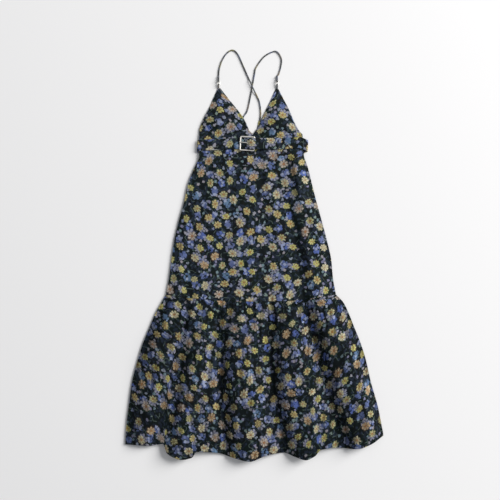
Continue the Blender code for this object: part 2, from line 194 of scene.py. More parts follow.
# %% [markdown]
# ## Helpers for meshes
#
# Cloth has two faces and a rim, and a lone surface would look like paper cut with a
# knife. A solidify modifier gives a square rim, so the sheet is closed here by a half
# round. Straps, belt, rings and bars are one profile carried along a path: a bevelled
# curve does that too, but not with a width that changes or an end that is rounded.


# %% Grids
def grid_steps(count, edge):
    """Even parameters from 0 to 1, with closer ones at both ends for a rounded rim.

    edge is the share of the whole that one step takes there.
    """
    close = np.array([0.25, 0.6, 1.2, 2.2]) * edge
    inner = np.linspace(3.5 * edge, 1 - 3.5 * edge, count - 10)
    return np.concatenate([[0], close, inner, 1 - close[::-1], [1]])


def running_length(x, y, z, axis):
    """Length along the grid from its first row or column to each point."""
    steps = np.sqrt(sum(np.diff(a, axis=axis) ** 2 for a in (x, y, z)))
    start = np.zeros_like(np.take(steps, [0], axis=axis))
    return np.concatenate([start, np.cumsum(steps, axis=axis)], axis=axis)


print("steps to a rim:", grid_steps(12, 0.01)[:6].round(4).tolist())


# %% Meshes
def mesh_object(name, points, faces, places, surface):
    """An object from points in mm, four-cornered faces and a texture place per point."""
    mesh = bpy.data.meshes.new(name)
    mesh.vertices.add(len(points))
    mesh.vertices.foreach_set("co", (points * MM).astype(np.float32).ravel())
    mesh.loops.add(faces.size)
    mesh.loops.foreach_set("vertex_index", faces.astype(np.int32).ravel())
    mesh.polygons.add(len(faces))
    starts = np.arange(0, faces.size, 4, dtype=np.int32)
    mesh.polygons.foreach_set("loop_start", starts)
    mesh.polygons.foreach_set("use_smooth", np.ones(len(faces), bool))
    layer = mesh.uv_layers.new(name="cloth")
    layer.data.foreach_set("uv", (places * MM)[faces].astype(np.float32).ravel())
    mesh.update(calc_edges=True)
    mesh.validate()
    mesh.materials.append(surface)
    made = bpy.data.objects.new(name, mesh)
    bpy.context.scene.collection.objects.link(made)
    return made


def quads(rows, columns):
    """Corner numbers of a grid's faces, counter-clockwise if rows go up, columns right."""
    first = (np.arange(rows - 1)[:, None] * columns + np.arange(columns - 1)).ravel()
    return np.stack([first, first + 1, first + columns + 1, first + columns], axis=1)


# %% Closed sheets of cloth
def cloth_sheet(name, x, y, under, thick, surface, shift):
    """A closed sheet over grids of x, y and underside height, all in mm.

    Its faces lie thick apart and meet in a half round at the rim. The texture place is
    the length along the cloth, so the print follows folds and gathers, and shift is where
    the piece was cut out of the printed cloth.
    """
    rows, columns = x.shape
    across = running_length(x, y, under, 1)
    down = running_length(x, y, under, 0)
    rim = np.minimum(across, across[:, -1:] - across)
    rim = np.minimum(rim, np.minimum(down, down[-1:] - down))
    # The rim is half an ellipse, thick high and thick / 1.6 deep.
    inside = 1 - np.clip(rim / thick * 1.6, 0, 1)
    half = thick / 2 * np.sqrt(1 - inside**2)
    top = np.stack([x, y, under + thick / 2 + half], axis=2).reshape(-1, 3)
    bottom = np.stack([x, y, under + thick / 2 - half], axis=2).reshape(-1, 3)
    # The rim's two rings are one, so the bottom grid borrows the top's rim points.
    count = rows * columns
    number = np.arange(count).reshape(rows, columns)
    lower = number + count
    lower[0], lower[-1] = number[0], number[-1]
    lower[:, 0], lower[:, -1] = number[:, 0], number[:, -1]
    upward = quads(rows, columns)
    downward = lower.ravel()[upward[:, ::-1]]
    # Where rows run down, the corners are taken in reverse, so that faces look out.
    turn = (x[1, 0] - x[0, 0]) * (y[0, 1] - y[0, 0])
    turn -= (x[0, 1] - x[0, 0]) * (y[1, 0] - y[0, 0])
    if turn > 0:
        upward, downward = upward[:, ::-1], downward[:, ::-1]
    faces = np.concatenate([upward, downward])
    points = np.concatenate([top, bottom])
    # The print runs straight down the middle column and spreads out from there.
    middle = columns // 2
    print_x = across - across[:, middle : middle + 1] + x[:, middle : middle + 1]
    places = np.stack([print_x + shift[0], shift[1] - down], axis=2).reshape(-1, 2)
    places = np.concatenate([places, places])
    used = np.unique(faces)
    renumber = np.zeros(len(points), int)
    renumber[used] = np.arange(len(used))
    made = mesh_object(name, points[used], renumber[faces], places[used], surface)
    print(name, "faces:", len(faces), "highest:", round(float(points[:, 2].max()), 1), "mm")
    return made


# %% Strips and wires
def carried_strip(name, path, side, section, surface, shift=(0, 0), closed=False):
    """A profile carried along a path of points.

    side is the profile's first axis at each point, and the second is at right angles to
    it and to the path. section is a grid of distances along each of the two axes, with a
    row for each point of the path.
    """
    if closed:
        heading = np.roll(path, -1, axis=0) - np.roll(path, 1, axis=0)
    else:
        heading = np.gradient(path, axis=0)
    up = np.cross(heading, side)
    up /= np.linalg.norm(up, axis=1, keepdims=True)
    across, rise = section
    ring = (
        path[:, None]
        + across[:, :, None] * side[:, None]
        + rise[:, :, None] * up[:, None]
    )
    count, around = across.shape
    if closed:
        ring = np.concatenate([ring, ring[:1]])
        count += 1
    ring = np.concatenate([ring, ring[:, :1]], axis=1)
    girth = running_length(ring[..., 0], ring[..., 1], ring[..., 2], 1)
    length = running_length(ring[..., 0], ring[..., 1], ring[..., 2], 0)
    length = np.repeat(length.mean(axis=1, keepdims=True), around + 1, axis=1)
    points = ring.reshape(-1, 3)
    places = np.stack([girth + shift[0], length + shift[1]], axis=2).reshape(-1, 2)
    faces = quads(count, around + 1)
    made = mesh_object(name, points, faces, places, surface)
    close_seams(made)
    print(name, "faces:", len(faces), "length:", round(float(length.max())), "mm")
    return made


def close_seams(made):
    """Joins the strip's first and last lines of points, caps it and turns its faces out."""
    shape = bmesh.new()
    shape.from_mesh(made.data)
    bmesh.ops.remove_doubles(shape, verts=shape.verts, dist=1e-6)
    bmesh.ops.holes_fill(shape, edges=shape.edges, sides=0)
    bmesh.ops.recalc_face_normals(shape, faces=shape.faces)
    shape.to_mesh(made.data)
    shape.free()


def oval(count, around, half_width, half_height, power=1.0):
    """Half sizes times cos ^ power and sin ^ power: a power under 1 squares the oval off."""
    turn = np.linspace(0, 2 * np.pi, around, endpoint=False)
    cos, sin = np.cos(turn), np.sin(turn)
    across = np.sign(cos) * np.abs(cos) ** power
    rise = np.sign(sin) * np.abs(sin) ** power
    wide = np.broadcast_to(half_width, count)[:, None] * across
    return wide, np.broadcast_to(half_height, count)[:, None] * rise


# %% Paths
def spline(points, spacing):
    """Points that far apart on a Catmull-Rom curve.

    Between two of the given points it is a cubic, whose slope at each is half the step
    from the point before to the point after.
    """
    points = np.array(points, float)
    ends = np.vstack([2 * points[0] - points[1], points, 2 * points[-1] - points[-2]])
    a, b, c, d = (ends[i : len(ends) - 3 + i, None] for i in range(4))
    t = np.linspace(0, 1, 24, endpoint=False)[None, :, None]
    curve = 0.5 * (
        2 * b
        + (c - a) * t
        + (2 * a - 5 * b + 4 * c - d) * t**2
        + (3 * b - a - 3 * c + d) * t**3
    )
    curve = np.vstack([curve.reshape(-1, points.shape[1]), points[-1:]])
    return evenly(curve, spacing)


def evenly(curve, spacing):
    """Points that far apart along a line of points."""
    lengths = np.linalg.norm(np.diff(curve, axis=0), axis=1)
    at = np.concatenate([[0], np.cumsum(lengths)])
    wanted = np.linspace(0, at[-1], max(int(at[-1] / spacing), 2) + 1)
    return np.stack([np.interp(wanted, at, axis) for axis in curve.T], axis=1)


def arc(centre, radii, start, end, count):
    """Points on an ellipse from one angle in degrees to another."""
    turn = np.radians(np.linspace(start, end, count))
    across = centre[0] + radii[0] * np.cos(turn)
    return np.stack([across, centre[1] + radii[1] * np.sin(turn)], axis=1)


print("a quarter turn:", arc((0, 0), (1, 1), 0, 90, 3).round(2).tolist())


# %% [markdown]
# ## The print
#
# The cloth is a light plain weave of viscose, screen printed with a scattered floral on
# a near-black ground. A scattered print has no visible repeat, so each kind of flower is
# a Voronoi pattern: every cell holds one flower, and the cell's random colour turns,
# sizes and tints it. A petal's edge is a distance from the flower's heart that rises and
# falls with the angle. The layers lie as on the cloth: ground, stems, small flowers, blue
# clusters, lilac flowers, and the yellow ones that half hide them. A painted picture could
# do the same, but nodes stay sharp at every distance and need no image.


# %% Colours and the node helper
def linear(hex_colour):
    """The linear colour of an sRGB hex value.

    A part c from 0 to 1 becomes c / 12.92 up to 0.04045, else ((c + 0.055) / 1.055) ^ 2.4.
    """
    parts = np.array([int(hex_colour[i : i + 2], 16) for i in (1, 3, 5)]) / 255
    low, high = parts / 12.92, ((parts + 0.055) / 1.055) ** 2.4
    return (*np.where(parts <= 0.04045, low, high).tolist(), 1.0)


def set_stops(ramp, stops):
    """Puts (position, hex) stops on a colour ramp that starts with two."""
    while len(ramp.elements) < len(stops):
        ramp.elements.new(0.5)
    for element, (position, colour) in zip(ramp.elements, stops):
        element.position = position
        element.color = linear(colour)


def add(tree, kind, inputs=None, stops=(), blend="LINEAR", **settings):
    """Adds a node with its settings, links or values, and returns its outputs.

    stops and blend are a colour ramp's stops and how it goes from one to the next.
    """
    made = tree.nodes.new("ShaderNode" + kind)
    for name, value in settings.items():
        setattr(made, name, value)
    if stops:
        made.color_ramp.interpolation = blend
        set_stops(made.color_ramp, stops)
    for key, value in (inputs or {}).items():
        if isinstance(value, bpy.types.NodeSocket):
            tree.links.new(value, made.inputs[key])
        else:
            made.inputs[key].default_value = value
    return made.outputs


# A mix of two colours: input 0 is how much of input 7 covers input 6, output 2 the result
OVER = {"data_type": "RGBA", "clamp_factor": True}
print("darkest ground in linear light:", [round(part, 4) for part in linear("#0A0F12")])


# %% Sizes and colours of the print
PITCH = 43.2 * MM
PRINT_TURN = np.radians(37.0)
YELLOW_RADIUS, BLUE_RADIUS, BUD_RADIUS = 11.7 * MM, 12.2 * MM, 5.0 * MM
LILAC_SHIFT = 8.5 * MM
# A wave repeats every pi / 10 over its scale: 0.57 mm here, two threads of a light weave
WEAVE_SCALE = 1 / (1.8 * MM)
# How wide one patch of each noise is, and how far the first two move the print
WANDER, WANDER_REACH = 250 * MM, 17 * MM
RAGGED, RAGGED_REACH = 4.8 * MM, 7.5 * MM
GROUND_PATCH, STEM_LOOP, STEM_GAP = 53 * MM, 21 * MM, 12.5 * MM
FLORET, SPECK, CREPE, CRIMP_SHADE = 8.2 * MM, 3.0 * MM, 1.6 * MM, 11 * MM
CREASE_WIDTH = 3.4 * MM

GROUND = ((0.0, "#0A0F12"), (0.45, "#0F1619"), (0.6, "#0D1917"), (0.8, "#1B1614"))
LEAVES = ((0.0, "#2A3E34"), (0.55, "#3A2A22"))
YELLOWS = (
    (0.0, "#A6A460"),
    (0.22, "#96946C"),
    (0.4, "#A89A68"),
    (0.58, "#AEA88E"),
    (0.76, "#A68C72"),
    (0.89, "#968A8A"),
)
BLUES = ((0.0, "#5E6C96"), (0.35, "#68739A"), (0.6, "#5466A2"), (0.8, "#5E7892"))
LILACS = ((0.0, "#404250"), (0.5, "#66687C"), (1.0, "#888A98"))
SPECKS = ((0.0, "#74748E"), (0.4, "#6C8088"), (0.7, "#8C8890"))
BUDS = ((0.0, "#6E7690"), (0.3, "#7A8290"), (0.6, "#8A8A94"), (0.85, "#74847F"))
print("flowers of one kind in a square metre, at most:", round(1 / PITCH**2))


# %% Places of the flowers
def shaken(tree, place, patch, reach, detail):
    """The place moved by a noise with patches of that size, by half of reach each way."""
    cloud = {"Vector": place, "Scale": 1 / patch, "Detail": detail}
    push = add(tree, "TexNoise", cloud)["Color"]
    push = add(tree, "VectorMath", {0: push, 1: (0.5, 0.5, 0.5)}, operation="SUBTRACT")[0]
    push = add(tree, "VectorMath", {0: push, "Scale": reach}, operation="SCALE")[0]
    return add(tree, "VectorMath", {0: place, 1: push}, operation="ADD")[0]


def scatter(tree, place, shift):
    """The place from the nearest flower's heart, and three random numbers for it.

    Four kinds share one loose lattice, each shifted by its own part of the pitch, so
    that they fill one another's gaps.
    """
    offset = (shift[0] * PITCH, shift[1] * PITCH, 0)
    moved = add(tree, "VectorMath", {0: place, 1: offset}, operation="ADD")[0]
    cells = {"Vector": moved, "Scale": 1 / PITCH, "Randomness": 0.36}
    cells = add(tree, "TexVoronoi", cells, voronoi_dimensions="2D", feature="F1")
    heart = {0: moved, 1: cells["Position"]}
    local = add(tree, "VectorMath", heart, operation="SUBTRACT")[0]
    return local, add(tree, "SeparateColor", {0: cells["Color"]})


# %% One flower
# What a random number from 0 to 1 adds, in radians, to the angle of the petals, to the
# doubled angle of the long axis, and to the way in which a lilac flower is shifted
SPIN, TILT, FULL_TURN = 37.0, 21.0, 6.283


def blossom(tree, local, chance, radius, petals, kept, depth):
    """A flower round its heart: (cover, reach, petal).

    reach is 0 at the heart and 1 at the petals' edge, which lies at radius times
    1 - depth + depth * petal ^ 0.6, where petal is |cos(angle * petals / 2)|. Chance
    turns, sizes and squashes the flower, and hides it when its third number is over kept.
    """
    flat = add(tree, "SeparateXYZ", {0: local})
    angle = add(tree, "Math", {0: flat[1], 1: flat[0]}, operation="ARCTAN2")[0]
    turned = add(tree, "Math", {0: chance[0], 1: SPIN, 2: angle}, operation="MULTIPLY_ADD")[0]
    lobes = add(tree, "Math", {0: turned, 1: petals / 2}, operation="MULTIPLY")[0]
    wave = add(tree, "Math", {0: lobes}, operation="COSINE")[0]
    petal = add(tree, "Math", {0: wave}, operation="ABSOLUTE")[0]
    rounded = add(tree, "Math", {0: petal, 1: 0.6}, operation="POWER")[0]
    edge = add(tree, "Math", {0: rounded, 1: depth, 2: 1 - depth}, operation="MULTIPLY_ADD")[0]
    tilt = add(tree, "Math", {0: angle, 1: 2.0}, operation="MULTIPLY")[0]
    tilted = add(tree, "Math", {0: chance[2], 1: TILT, 2: tilt}, operation="MULTIPLY_ADD")[0]
    oval_wave = add(tree, "Math", {0: tilted}, operation="COSINE")[0]
    squash = add(tree, "Math", {0: oval_wave, 1: 0.11, 2: 1.0}, operation="MULTIPLY_ADD")[0]
    size = {0: chance[1], 1: 0.28 * radius, 2: 0.86 * radius}
    sized = add(tree, "Math", size, operation="MULTIPLY_ADD")[0]
    outline = add(tree, "Math", {0: edge, 1: squash}, operation="MULTIPLY")[0]
    outline = add(tree, "Math", {0: outline, 1: sized}, operation="MULTIPLY")[0]
    far = add(tree, "VectorMath", {0: local}, operation="LENGTH")["Value"]
    reach = add(tree, "Math", {0: far, 1: outline}, operation="DIVIDE")[0]
    fade = {"Value": reach, "From Min": 0.94, "From Max": 1.06, "To Min": 1.0, "To Max": 0.0}
    solid = add(tree, "MapRange", fade, interpolation_type="SMOOTHSTEP")[0]
    present = add(tree, "Math", {0: chance[2], 1: kept}, operation="LESS_THAN")[0]
    cover = add(tree, "Math", {0: solid, 1: present}, operation="MULTIPLY")[0]
    return cover, reach, petal


# %% Ground and stems
def ground_and_stems(tree, cloth, place):
    """Dark patches of a slow noise, crossed by thin stems.

    A stem lies where a smooth noise is within 0.028 of a half. A second noise keeps the
    stretches where it is over a half, and the ground shows half through them.
    """
    patches = {"Vector": cloth, "Scale": 1 / GROUND_PATCH, "Detail": 2.0}
    patches = add(tree, "TexNoise", patches)[0]
    ground = add(tree, "ValToRGB", {0: patches}, GROUND)[0]
    winding = {"Vector": cloth, "Scale": 1 / STEM_LOOP, "Detail": 0.0}
    winding = add(tree, "TexNoise", winding)[0]
    on_line = add(tree, "Math", {0: winding, 1: 0.5, 2: 0.028}, operation="COMPARE")[0]
    gaps = add(tree, "TexNoise", {"Vector": place, "Scale": 1 / STEM_GAP, "Detail": 1.0})[0]
    shown = add(tree, "Math", {0: gaps, 1: 0.5}, operation="GREATER_THAN")[0]
    stems = add(tree, "Math", {0: on_line, 1: shown}, operation="MULTIPLY")[0]
    stems = add(tree, "Math", {0: stems, 1: 0.5}, operation="MULTIPLY")[0]
    over = {0: stems, 6: ground, 7: linear("#64756F")}
    return add(tree, "Mix", over, **OVER)[2]


# %% Florets, leaves and buds
def dim_florets(tree, colour, florets):
    """Dim florets, and a few pale specks, that fill the ground between the flowers.

    A spot is full up to 0.44 of its cell's size from the heart and gone at 0.62.
    """
    distance, chance = florets
    spot = {"Value": distance, "From Min": 0.62, "From Max": 0.44}
    spot = add(tree, "MapRange", spot)[0]
    grown = add(tree, "Math", {0: chance[0], 1: 0.82}, operation="LESS_THAN")[0]
    spot = add(tree, "Math", {0: spot, 1: grown}, operation="MULTIPLY")[0]
    dim = add(tree, "Math", {0: chance[2], 1: 0.5}, operation="LESS_THAN")[0]
    dim = add(tree, "Math", {0: spot, 1: dim}, operation="MULTIPLY")[0]
    dim = add(tree, "Math", {0: dim, 1: 0.52}, operation="MULTIPLY")[0]
    over = {0: dim, 6: colour, 7: linear("#2B3547")}
    colour = add(tree, "Mix", over, **OVER)[2]
    tiny = add(tree, "Math", {0: chance[2], 1: 0.91}, operation="GREATER_THAN")[0]
    tiny = add(tree, "Math", {0: spot, 1: tiny}, operation="MULTIPLY")[0]
    tint = add(tree, "ValToRGB", {0: chance[1]}, SPECKS, "CONSTANT")[0]
    return add(tree, "Mix", {0: tiny, 6: colour, 7: tint}, **OVER)[2]


def leaves_and_buds(tree, place, colour, yellow):
    """Leaves that stand out from under the yellow flowers, and small round buds."""
    local, chance = yellow
    leaves = blossom(tree, local, chance, 1.3 * YELLOW_RADIUS, 5, kept=0.8, depth=0.45)[0]
    leaves = add(tree, "Math", {0: leaves, 1: 0.6}, operation="MULTIPLY")[0]
    tint = add(tree, "ValToRGB", {0: chance[0]}, LEAVES, "CONSTANT")[0]
    colour = add(tree, "Mix", {0: leaves, 6: colour, 7: tint}, **OVER)[2]
    for shift in ((0.5, 7.0), (9.0, 0.5)):
        local, chance = scatter(tree, place, shift)
        buds = blossom(tree, local, chance, BUD_RADIUS, 3, kept=0.62, depth=0.4)[0]
        tint = add(tree, "ValToRGB", {0: chance[0]}, BUDS, "CONSTANT")[0]
        colour = add(tree, "Mix", {0: buds, 6: colour, 7: tint}, **OVER)[2]
    return colour


# %% Blue clusters
def blue_clusters(tree, place, colour, florets):
    """Blue flowers, broken up and mottled by the cells of the florets.

    A flower shows where it lies near the heart of a floret's cell. Each cell's random
    numbers make its part of the flower deeper, or now and then paler.
    """
    distance, mottle = florets
    local, chance = scatter(tree, place, (4.5, 11.5))
    blue = blossom(tree, local, chance, BLUE_RADIUS, 5, kept=0.68, depth=0.3)[0]
    near = {"Value": distance, "From Min": 0.70, "From Max": 0.46}
    near = add(tree, "MapRange", near)[0]
    blue = add(tree, "Math", {0: blue, 1: near}, operation="MULTIPLY")[0]
    tint = add(tree, "ValToRGB", {0: chance[0]}, BLUES, "CONSTANT")[0]
    deep = add(tree, "Math", {0: mottle[1], 1: 0.65}, operation="MULTIPLY")[0]
    pale = add(tree, "Math", {0: mottle[2], 1: 0.72}, operation="GREATER_THAN")[0]
    pale = add(tree, "Math", {0: pale, 1: 0.55}, operation="MULTIPLY")[0]
    for cover, hex_colour in ((deep, "#3A4876"), (pale, "#A2AAC0")):
        over = {0: cover, 6: tint, 7: linear(hex_colour)}
        tint = add(tree, "Mix", over, **OVER)[2]
    return add(tree, "Mix", {0: blue, 6: colour, 7: tint}, **OVER)[2]


# %% Lilac and yellow flowers
def lilac_flowers(tree, colour, yellow):
    """A lilac flower that peeps out on a random side of many yellow ones."""
    local, chance = yellow
    way = add(tree, "Math", {0: chance[1], 1: FULL_TURN}, operation="MULTIPLY")[0]
    way_x = add(tree, "Math", {0: way}, operation="COSINE")[0]
    way_y = add(tree, "Math", {0: way}, operation="SINE")[0]
    way = add(tree, "CombineXYZ", {0: way_x, 1: way_y})[0]
    way = add(tree, "VectorMath", {0: way, "Scale": LILAC_SHIFT}, operation="SCALE")[0]
    behind = add(tree, "VectorMath", {0: local, 1: way}, operation="ADD")[0]
    flower = blossom(tree, behind, chance, 1.1 * YELLOW_RADIUS, 6, kept=0.6, depth=0.4)
    lilac, _, petal = flower
    tint = add(tree, "ValToRGB", {0: petal}, LILACS)[0]
    return add(tree, "Mix", {0: lilac, 6: colour, 7: tint}, **OVER)[2]


def yellow_flowers(tree, place, colour, yellow):
    """Olive to salmon flowers: stippled, dark between the petals and brown at heart."""
    local, chance = yellow
    flower = blossom(tree, local, chance, YELLOW_RADIUS, 7, kept=0.93, depth=0.34)
    shown, reach, petal = flower
    specks = add(tree, "TexNoise", {"Vector": place, "Scale": 1 / SPECK, "Detail": 1.0})[0]
    light = {"Value": specks, "From Min": 0.5, "From Max": 0.66, "To Min": 0.0, "To Max": 0.6}
    light = add(tree, "MapRange", light)[0]
    dark = {"Value": specks, "From Min": 0.5, "From Max": 0.34, "To Min": 0.0, "To Max": 0.6}
    dark = add(tree, "MapRange", dark)[0]
    folds = {"Value": petal, "From Min": 0.65, "From Max": 0.1, "To Min": 0.0, "To Max": 0.75}
    folds = add(tree, "MapRange", folds)[0]
    heart = {"Value": reach, "From Min": 0.48, "From Max": 0.22}
    heart = add(tree, "MapRange", heart, interpolation_type="SMOOTHSTEP")[0]
    heart = add(tree, "Math", {0: heart, 1: 0.75}, operation="MULTIPLY")[0]
    tint = add(tree, "ValToRGB", {0: chance[1]}, YELLOWS, "CONSTANT")[0]
    covers = ((light, "#C9C3A4"), (dark, "#6B6340"), (folds, "#4C4428"), (heart, "#8A5A2E"))
    for cover, hex_colour in covers:
        over = {0: cover, 6: tint, 7: linear(hex_colour)}
        tint = add(tree, "Mix", over, **OVER)[2]
    return add(tree, "Mix", {0: shown, 6: colour, 7: tint}, **OVER)[2]


# %% [markdown]
# ## Painted shade, wear, painted highlights and weave
#
# The flounce's cloth is crimped more finely than the grid can follow, so its finish has
# painted shade: dark streaks that stand for the shade of that crimping. The other pieces
# have the same streaks, only faint. Narrow straps rub and look greyer. Sharp creases of
# the belt have painted highlights, pale lines where they would catch the light. The weave
# is far finer than a pixel: it is a relief, not a colour, so that it only breaks up the light.


# %% Painted crimp shade, wear and painted crease highlights
def painted_shade_wear_and_highlights(tree, cloth, colour, shade, faded, highlight_lines):
    """The print under streaks of painted shade, a grey veil of wear and painted highlights.

    A streak of painted shade grows from nothing, where a noise stretched down the cloth is
    0.36, to twice the shade, where it is 0.64. A painted highlight line is strongest in the
    inner three tenths of a long ellipse and fades to nothing at its edge.
    """
    down_cloth = add(tree, "Mapping", {0: cloth, "Scale": (1, 0.12, 1)})[0]
    crimp_shade = {"Vector": down_cloth, "Scale": 1 / CRIMP_SHADE, "Detail": 2.0}
    crimp_shade = add(tree, "TexNoise", crimp_shade)[0]
    crimp_shade = {"Value": crimp_shade, "From Min": 0.36, "From Max": 0.64, "To Max": 2 * shade}
    crimp_shade = add(tree, "MapRange", crimp_shade)[0]
    # Painted shade: dark streaks for the shade of fine crimping, and a grey veil for real wear
    covers = [(crimp_shade, "#06080A"), (faded, "#5C5E5E")]
    solid_place = add(tree, "TexCoord")["Object"]
    for x0, y0, x1, y1 in highlight_lines:
        run, heading = np.hypot(x1 - x0, y1 - y0) * MM, np.arctan2(y1 - y0, x1 - x0)
        line = {"Vector": solid_place, "Rotation": (0, 0, heading)}
        line |= {"Location": ((x0 + x1) / 2 * MM, (y0 + y1) / 2 * MM, 0)}
        line |= {"Scale": (run / 2, CREASE_WIDTH / 2, 10)}
        from_line = add(tree, "Mapping", line, vector_type="TEXTURE")[0]
        from_line = add(tree, "VectorMath", {0: from_line}, operation="LENGTH")["Value"]
        # Painted highlight: a pale tapered line along a sharp crease of the belt
        pale = {"Value": from_line, "From Min": 1.0, "From Max": 0.3, "To Max": 0.8}
        pale = add(tree, "MapRange", pale, interpolation_type="SMOOTHSTEP")[0]
        covers.append((pale, "#A4A9AC"))
    for cover, hex_colour in covers:
        over = {0: cover, 6: colour, 7: linear(hex_colour)}
        colour = add(tree, "Mix", over, **OVER)[2]
    return colour


# %% Weave
def weave_relief(tree, cloth):
    """Warp and weft: two crossed waves, plus 1.5 times a fine noise for the crepe."""
    lines = []
    for direction in ("X", "Y"):
        wave = {"Vector": cloth, "Scale": WEAVE_SCALE, "Distortion": 0.6}
        settings = {"wave_type": "BANDS", "bands_direction": direction}
        lines.append(add(tree, "TexWave", wave, **settings)[1])
    weave = add(tree, "Math", {0: lines[0], 1: lines[1]}, operation="ADD")[0]
    crepe = add(tree, "TexNoise", {"Vector": cloth, "Scale": 1 / CREPE, "Detail": 3.0})[0]
    relief = add(tree, "Math", {0: crepe, 1: 1.5, 2: weave}, operation="MULTIPLY_ADD")[0]
    bump = {"Height": relief, "Strength": 0.35, "Distance": 0.3 * MM}
    return add(tree, "Bump", bump)[0]


# %% The printed cloth
def printed_viscose(name, shade, faded=0.0, highlight_lines=()):
    """Viscose plain weave: matt, with a faint sheen where its threads turn away.

    shade is painted shade: it darkens the cloth in streaks, for crimping too fine for the
    grid to draw, and faded greys the print, as rubbing does on a narrow strap. Each
    highlight line runs from x, y to x, y in mm, tapers at both ends and is a painted
    highlight along a sharp crease.
    """
    made = bpy.data.materials.new(name)
    made.use_nodes = True
    tree = made.node_tree
    shader = tree.nodes["Principled BSDF"]
    cloth = add(tree, "UVMap", uv_map="cloth")[0]
    turned = add(tree, "Mapping", {0: cloth, "Rotation": (0, 0, PRINT_TURN)})[0]
    # The rows wander slowly, and hand-cut screens leave every edge a little uneven.
    place = shaken(tree, turned, WANDER, WANDER_REACH, 0.0)
    place = shaken(tree, place, RAGGED, RAGGED_REACH, 2.0)
    cells = {"Vector": place, "Scale": 1 / FLORET, "Randomness": 0.8}
    cells = add(tree, "TexVoronoi", cells, voronoi_dimensions="2D", feature="F1")
    florets = cells["Distance"], add(tree, "SeparateColor", {0: cells["Color"]})
    yellow = scatter(tree, place, (0, 0))

    colour = ground_and_stems(tree, cloth, place)
    colour = dim_florets(tree, colour, florets)
    colour = leaves_and_buds(tree, place, colour, yellow)
    colour = blue_clusters(tree, place, colour, florets)
    colour = lilac_flowers(tree, colour, yellow)
    colour = yellow_flowers(tree, place, colour, yellow)
    colour = painted_shade_wear_and_highlights(tree, cloth, colour, shade, faded, highlight_lines)
    tree.links.new(colour, shader.inputs["Base Color"])
    tree.links.new(weave_relief(tree, cloth), shader.inputs["Normal"])
    shader.inputs["Roughness"].default_value = 0.82
    shader.inputs["IOR"].default_value = 1.46
    shader.inputs["Specular IOR Level"].default_value = 0.12 * (1 - 1.2 * shade)
    shader.inputs["Sheen Weight"].default_value = 0.02
    shader.inputs["Sheen Roughness"].default_value = 0.5
    return made


# %% Finishes of the cloth
# Painted highlights along sharp creases of the belt, each from x, y to x, y in mm
BELT_HIGHLIGHT_LINES = (
    (-142, 325, -108, 325),
    (-146, 316.5, -98, 317),
    (71, 353, 60, 331),
    (92, 346, 117, 308),
)
# shade is painted shade for fine crimping: faint on most pieces, deep on the flounce
cloth_finish = printed_viscose("printed_viscose", shade=0.04)
crimp_shaded_finish = printed_viscose("crimp_shaded_viscose", shade=0.3)
belt_finish = printed_viscose("belt_viscose", shade=0.04, highlight_lines=BELT_HIGHLIGHT_LINES)
strap_finish = printed_viscose("strap_viscose", shade=0.04, faded=0.55)
print("print nodes:", len(cloth_finish.node_tree.nodes))

# %% [markdown]
# ## Metal
#
# The buckle, its prong and the strap rings are zinc castings with a pale satin plating.
# Satin metal spreads its highlight widely, so the bars stay light all round. A fine grain
# in tone, roughness and relief does that better than an even surface would.


# %% Plated zinc
GRAIN_SCALE = 900.0  # patches about 1.1 mm long


def pale_satin_plate():
    """Plating with a brushed grain, six times as fine across as along."""
    made = bpy.data.materials.new("pale_satin_plate")
    made.use_nodes = True
    tree = made.node_tree
    shader = tree.nodes["Principled BSDF"]
    place = add(tree, "TexCoord")["Object"]
    stretched = add(tree, "Mapping", {0: place, "Scale": (1, 6, 6)})[0]
    grain = {"Vector": stretched, "Scale": GRAIN_SCALE, "Detail": 3.0}
    grain = add(tree, "TexNoise", grain)[0]
    tone = add(tree, "ValToRGB", {0: grain}, ((0.3, "#E6E3DA"), (0.7, "#F6F4EE")))[0]
    tree.links.new(tone, shader.inputs["Base Color"])
    rough = {"Value": grain, "To Min": 0.44, "To Max": 0.56}
    tree.links.new(add(tree, "MapRange", rough)[0], shader.inputs["Roughness"])
    bump = {"Height": grain, "Strength": 0.2, "Distance": 0.05 * MM}
    tree.links.new(add(tree, "Bump", bump)[0], shader.inputs["Normal"])
    shader.inputs["Metallic"].default_value = 1.0
    return made


metal_finish = pale_satin_plate()
print("plate nodes:", len(metal_finish.node_tree.nodes))

# %% [markdown]
# ## The cut of the dress
#
# These tables are the garment's outline in millimetres, from the middle of the dress:
# +Y towards the neck and +X to the viewer's right. They are the frame's own sizes, so
# each shell fits the solid that it stands for. A real pattern is flat and a good deal
# wider: here the outline is the one that the gathered and folded cloth has as it lies.

# %% Outlines
CLOTH, GAP = 1.4, 0.4  # wall of a solid, and the air between two of them
UNDERBUST = 335.0
SKIRT_SIDES = (
    (335, -165, 146),
    (300, -165, 149),
    (263, -180, 161),
    (215, -199, 173),
    (152, -213, 189),
    (98, -228, 204),
    (41, -241, 219),
    (-14, -249, 231),
    (-68, -256, 236),
    (-118, -265, 245),
)
FLOUNCE_SEAM = (
    (-265, -118),
    (-180, -129),
    (-80, -136),
    (0, -138),
    (100, -136),
    (180, -127),
    (245, -117),
)
FLOUNCE_SIDES = (
    (-117, -265, 245),
    (-140, -278, 267),
    (-170, -295, 282),
    (-210, -312, 298),
    (-260, -333, 318),
    (-310, -349, 334),
    (-380, -367, 350),
    (-450, -377, 370),
    (-510, -384, 382),
    (-540, -386, 387),
    (-566, -387, 387),
)
FRONT_HEM = (
    (-387, -566),
    (-318, -571),
    (-274, -565),
    (-262, -594),
    (-217, -613),
    (-188, -607),
    (-173, -589),
    (-110, -592),
    (-60, -608),
    (-14, -618.6),
    (30, -603),
    (88, -591),
    (120, -603),
    (155, -614),
    (182, -602),
    (200, -583),
    (250, -576),
    (308, -581),
    (350, -567),
    (387, -540),
)
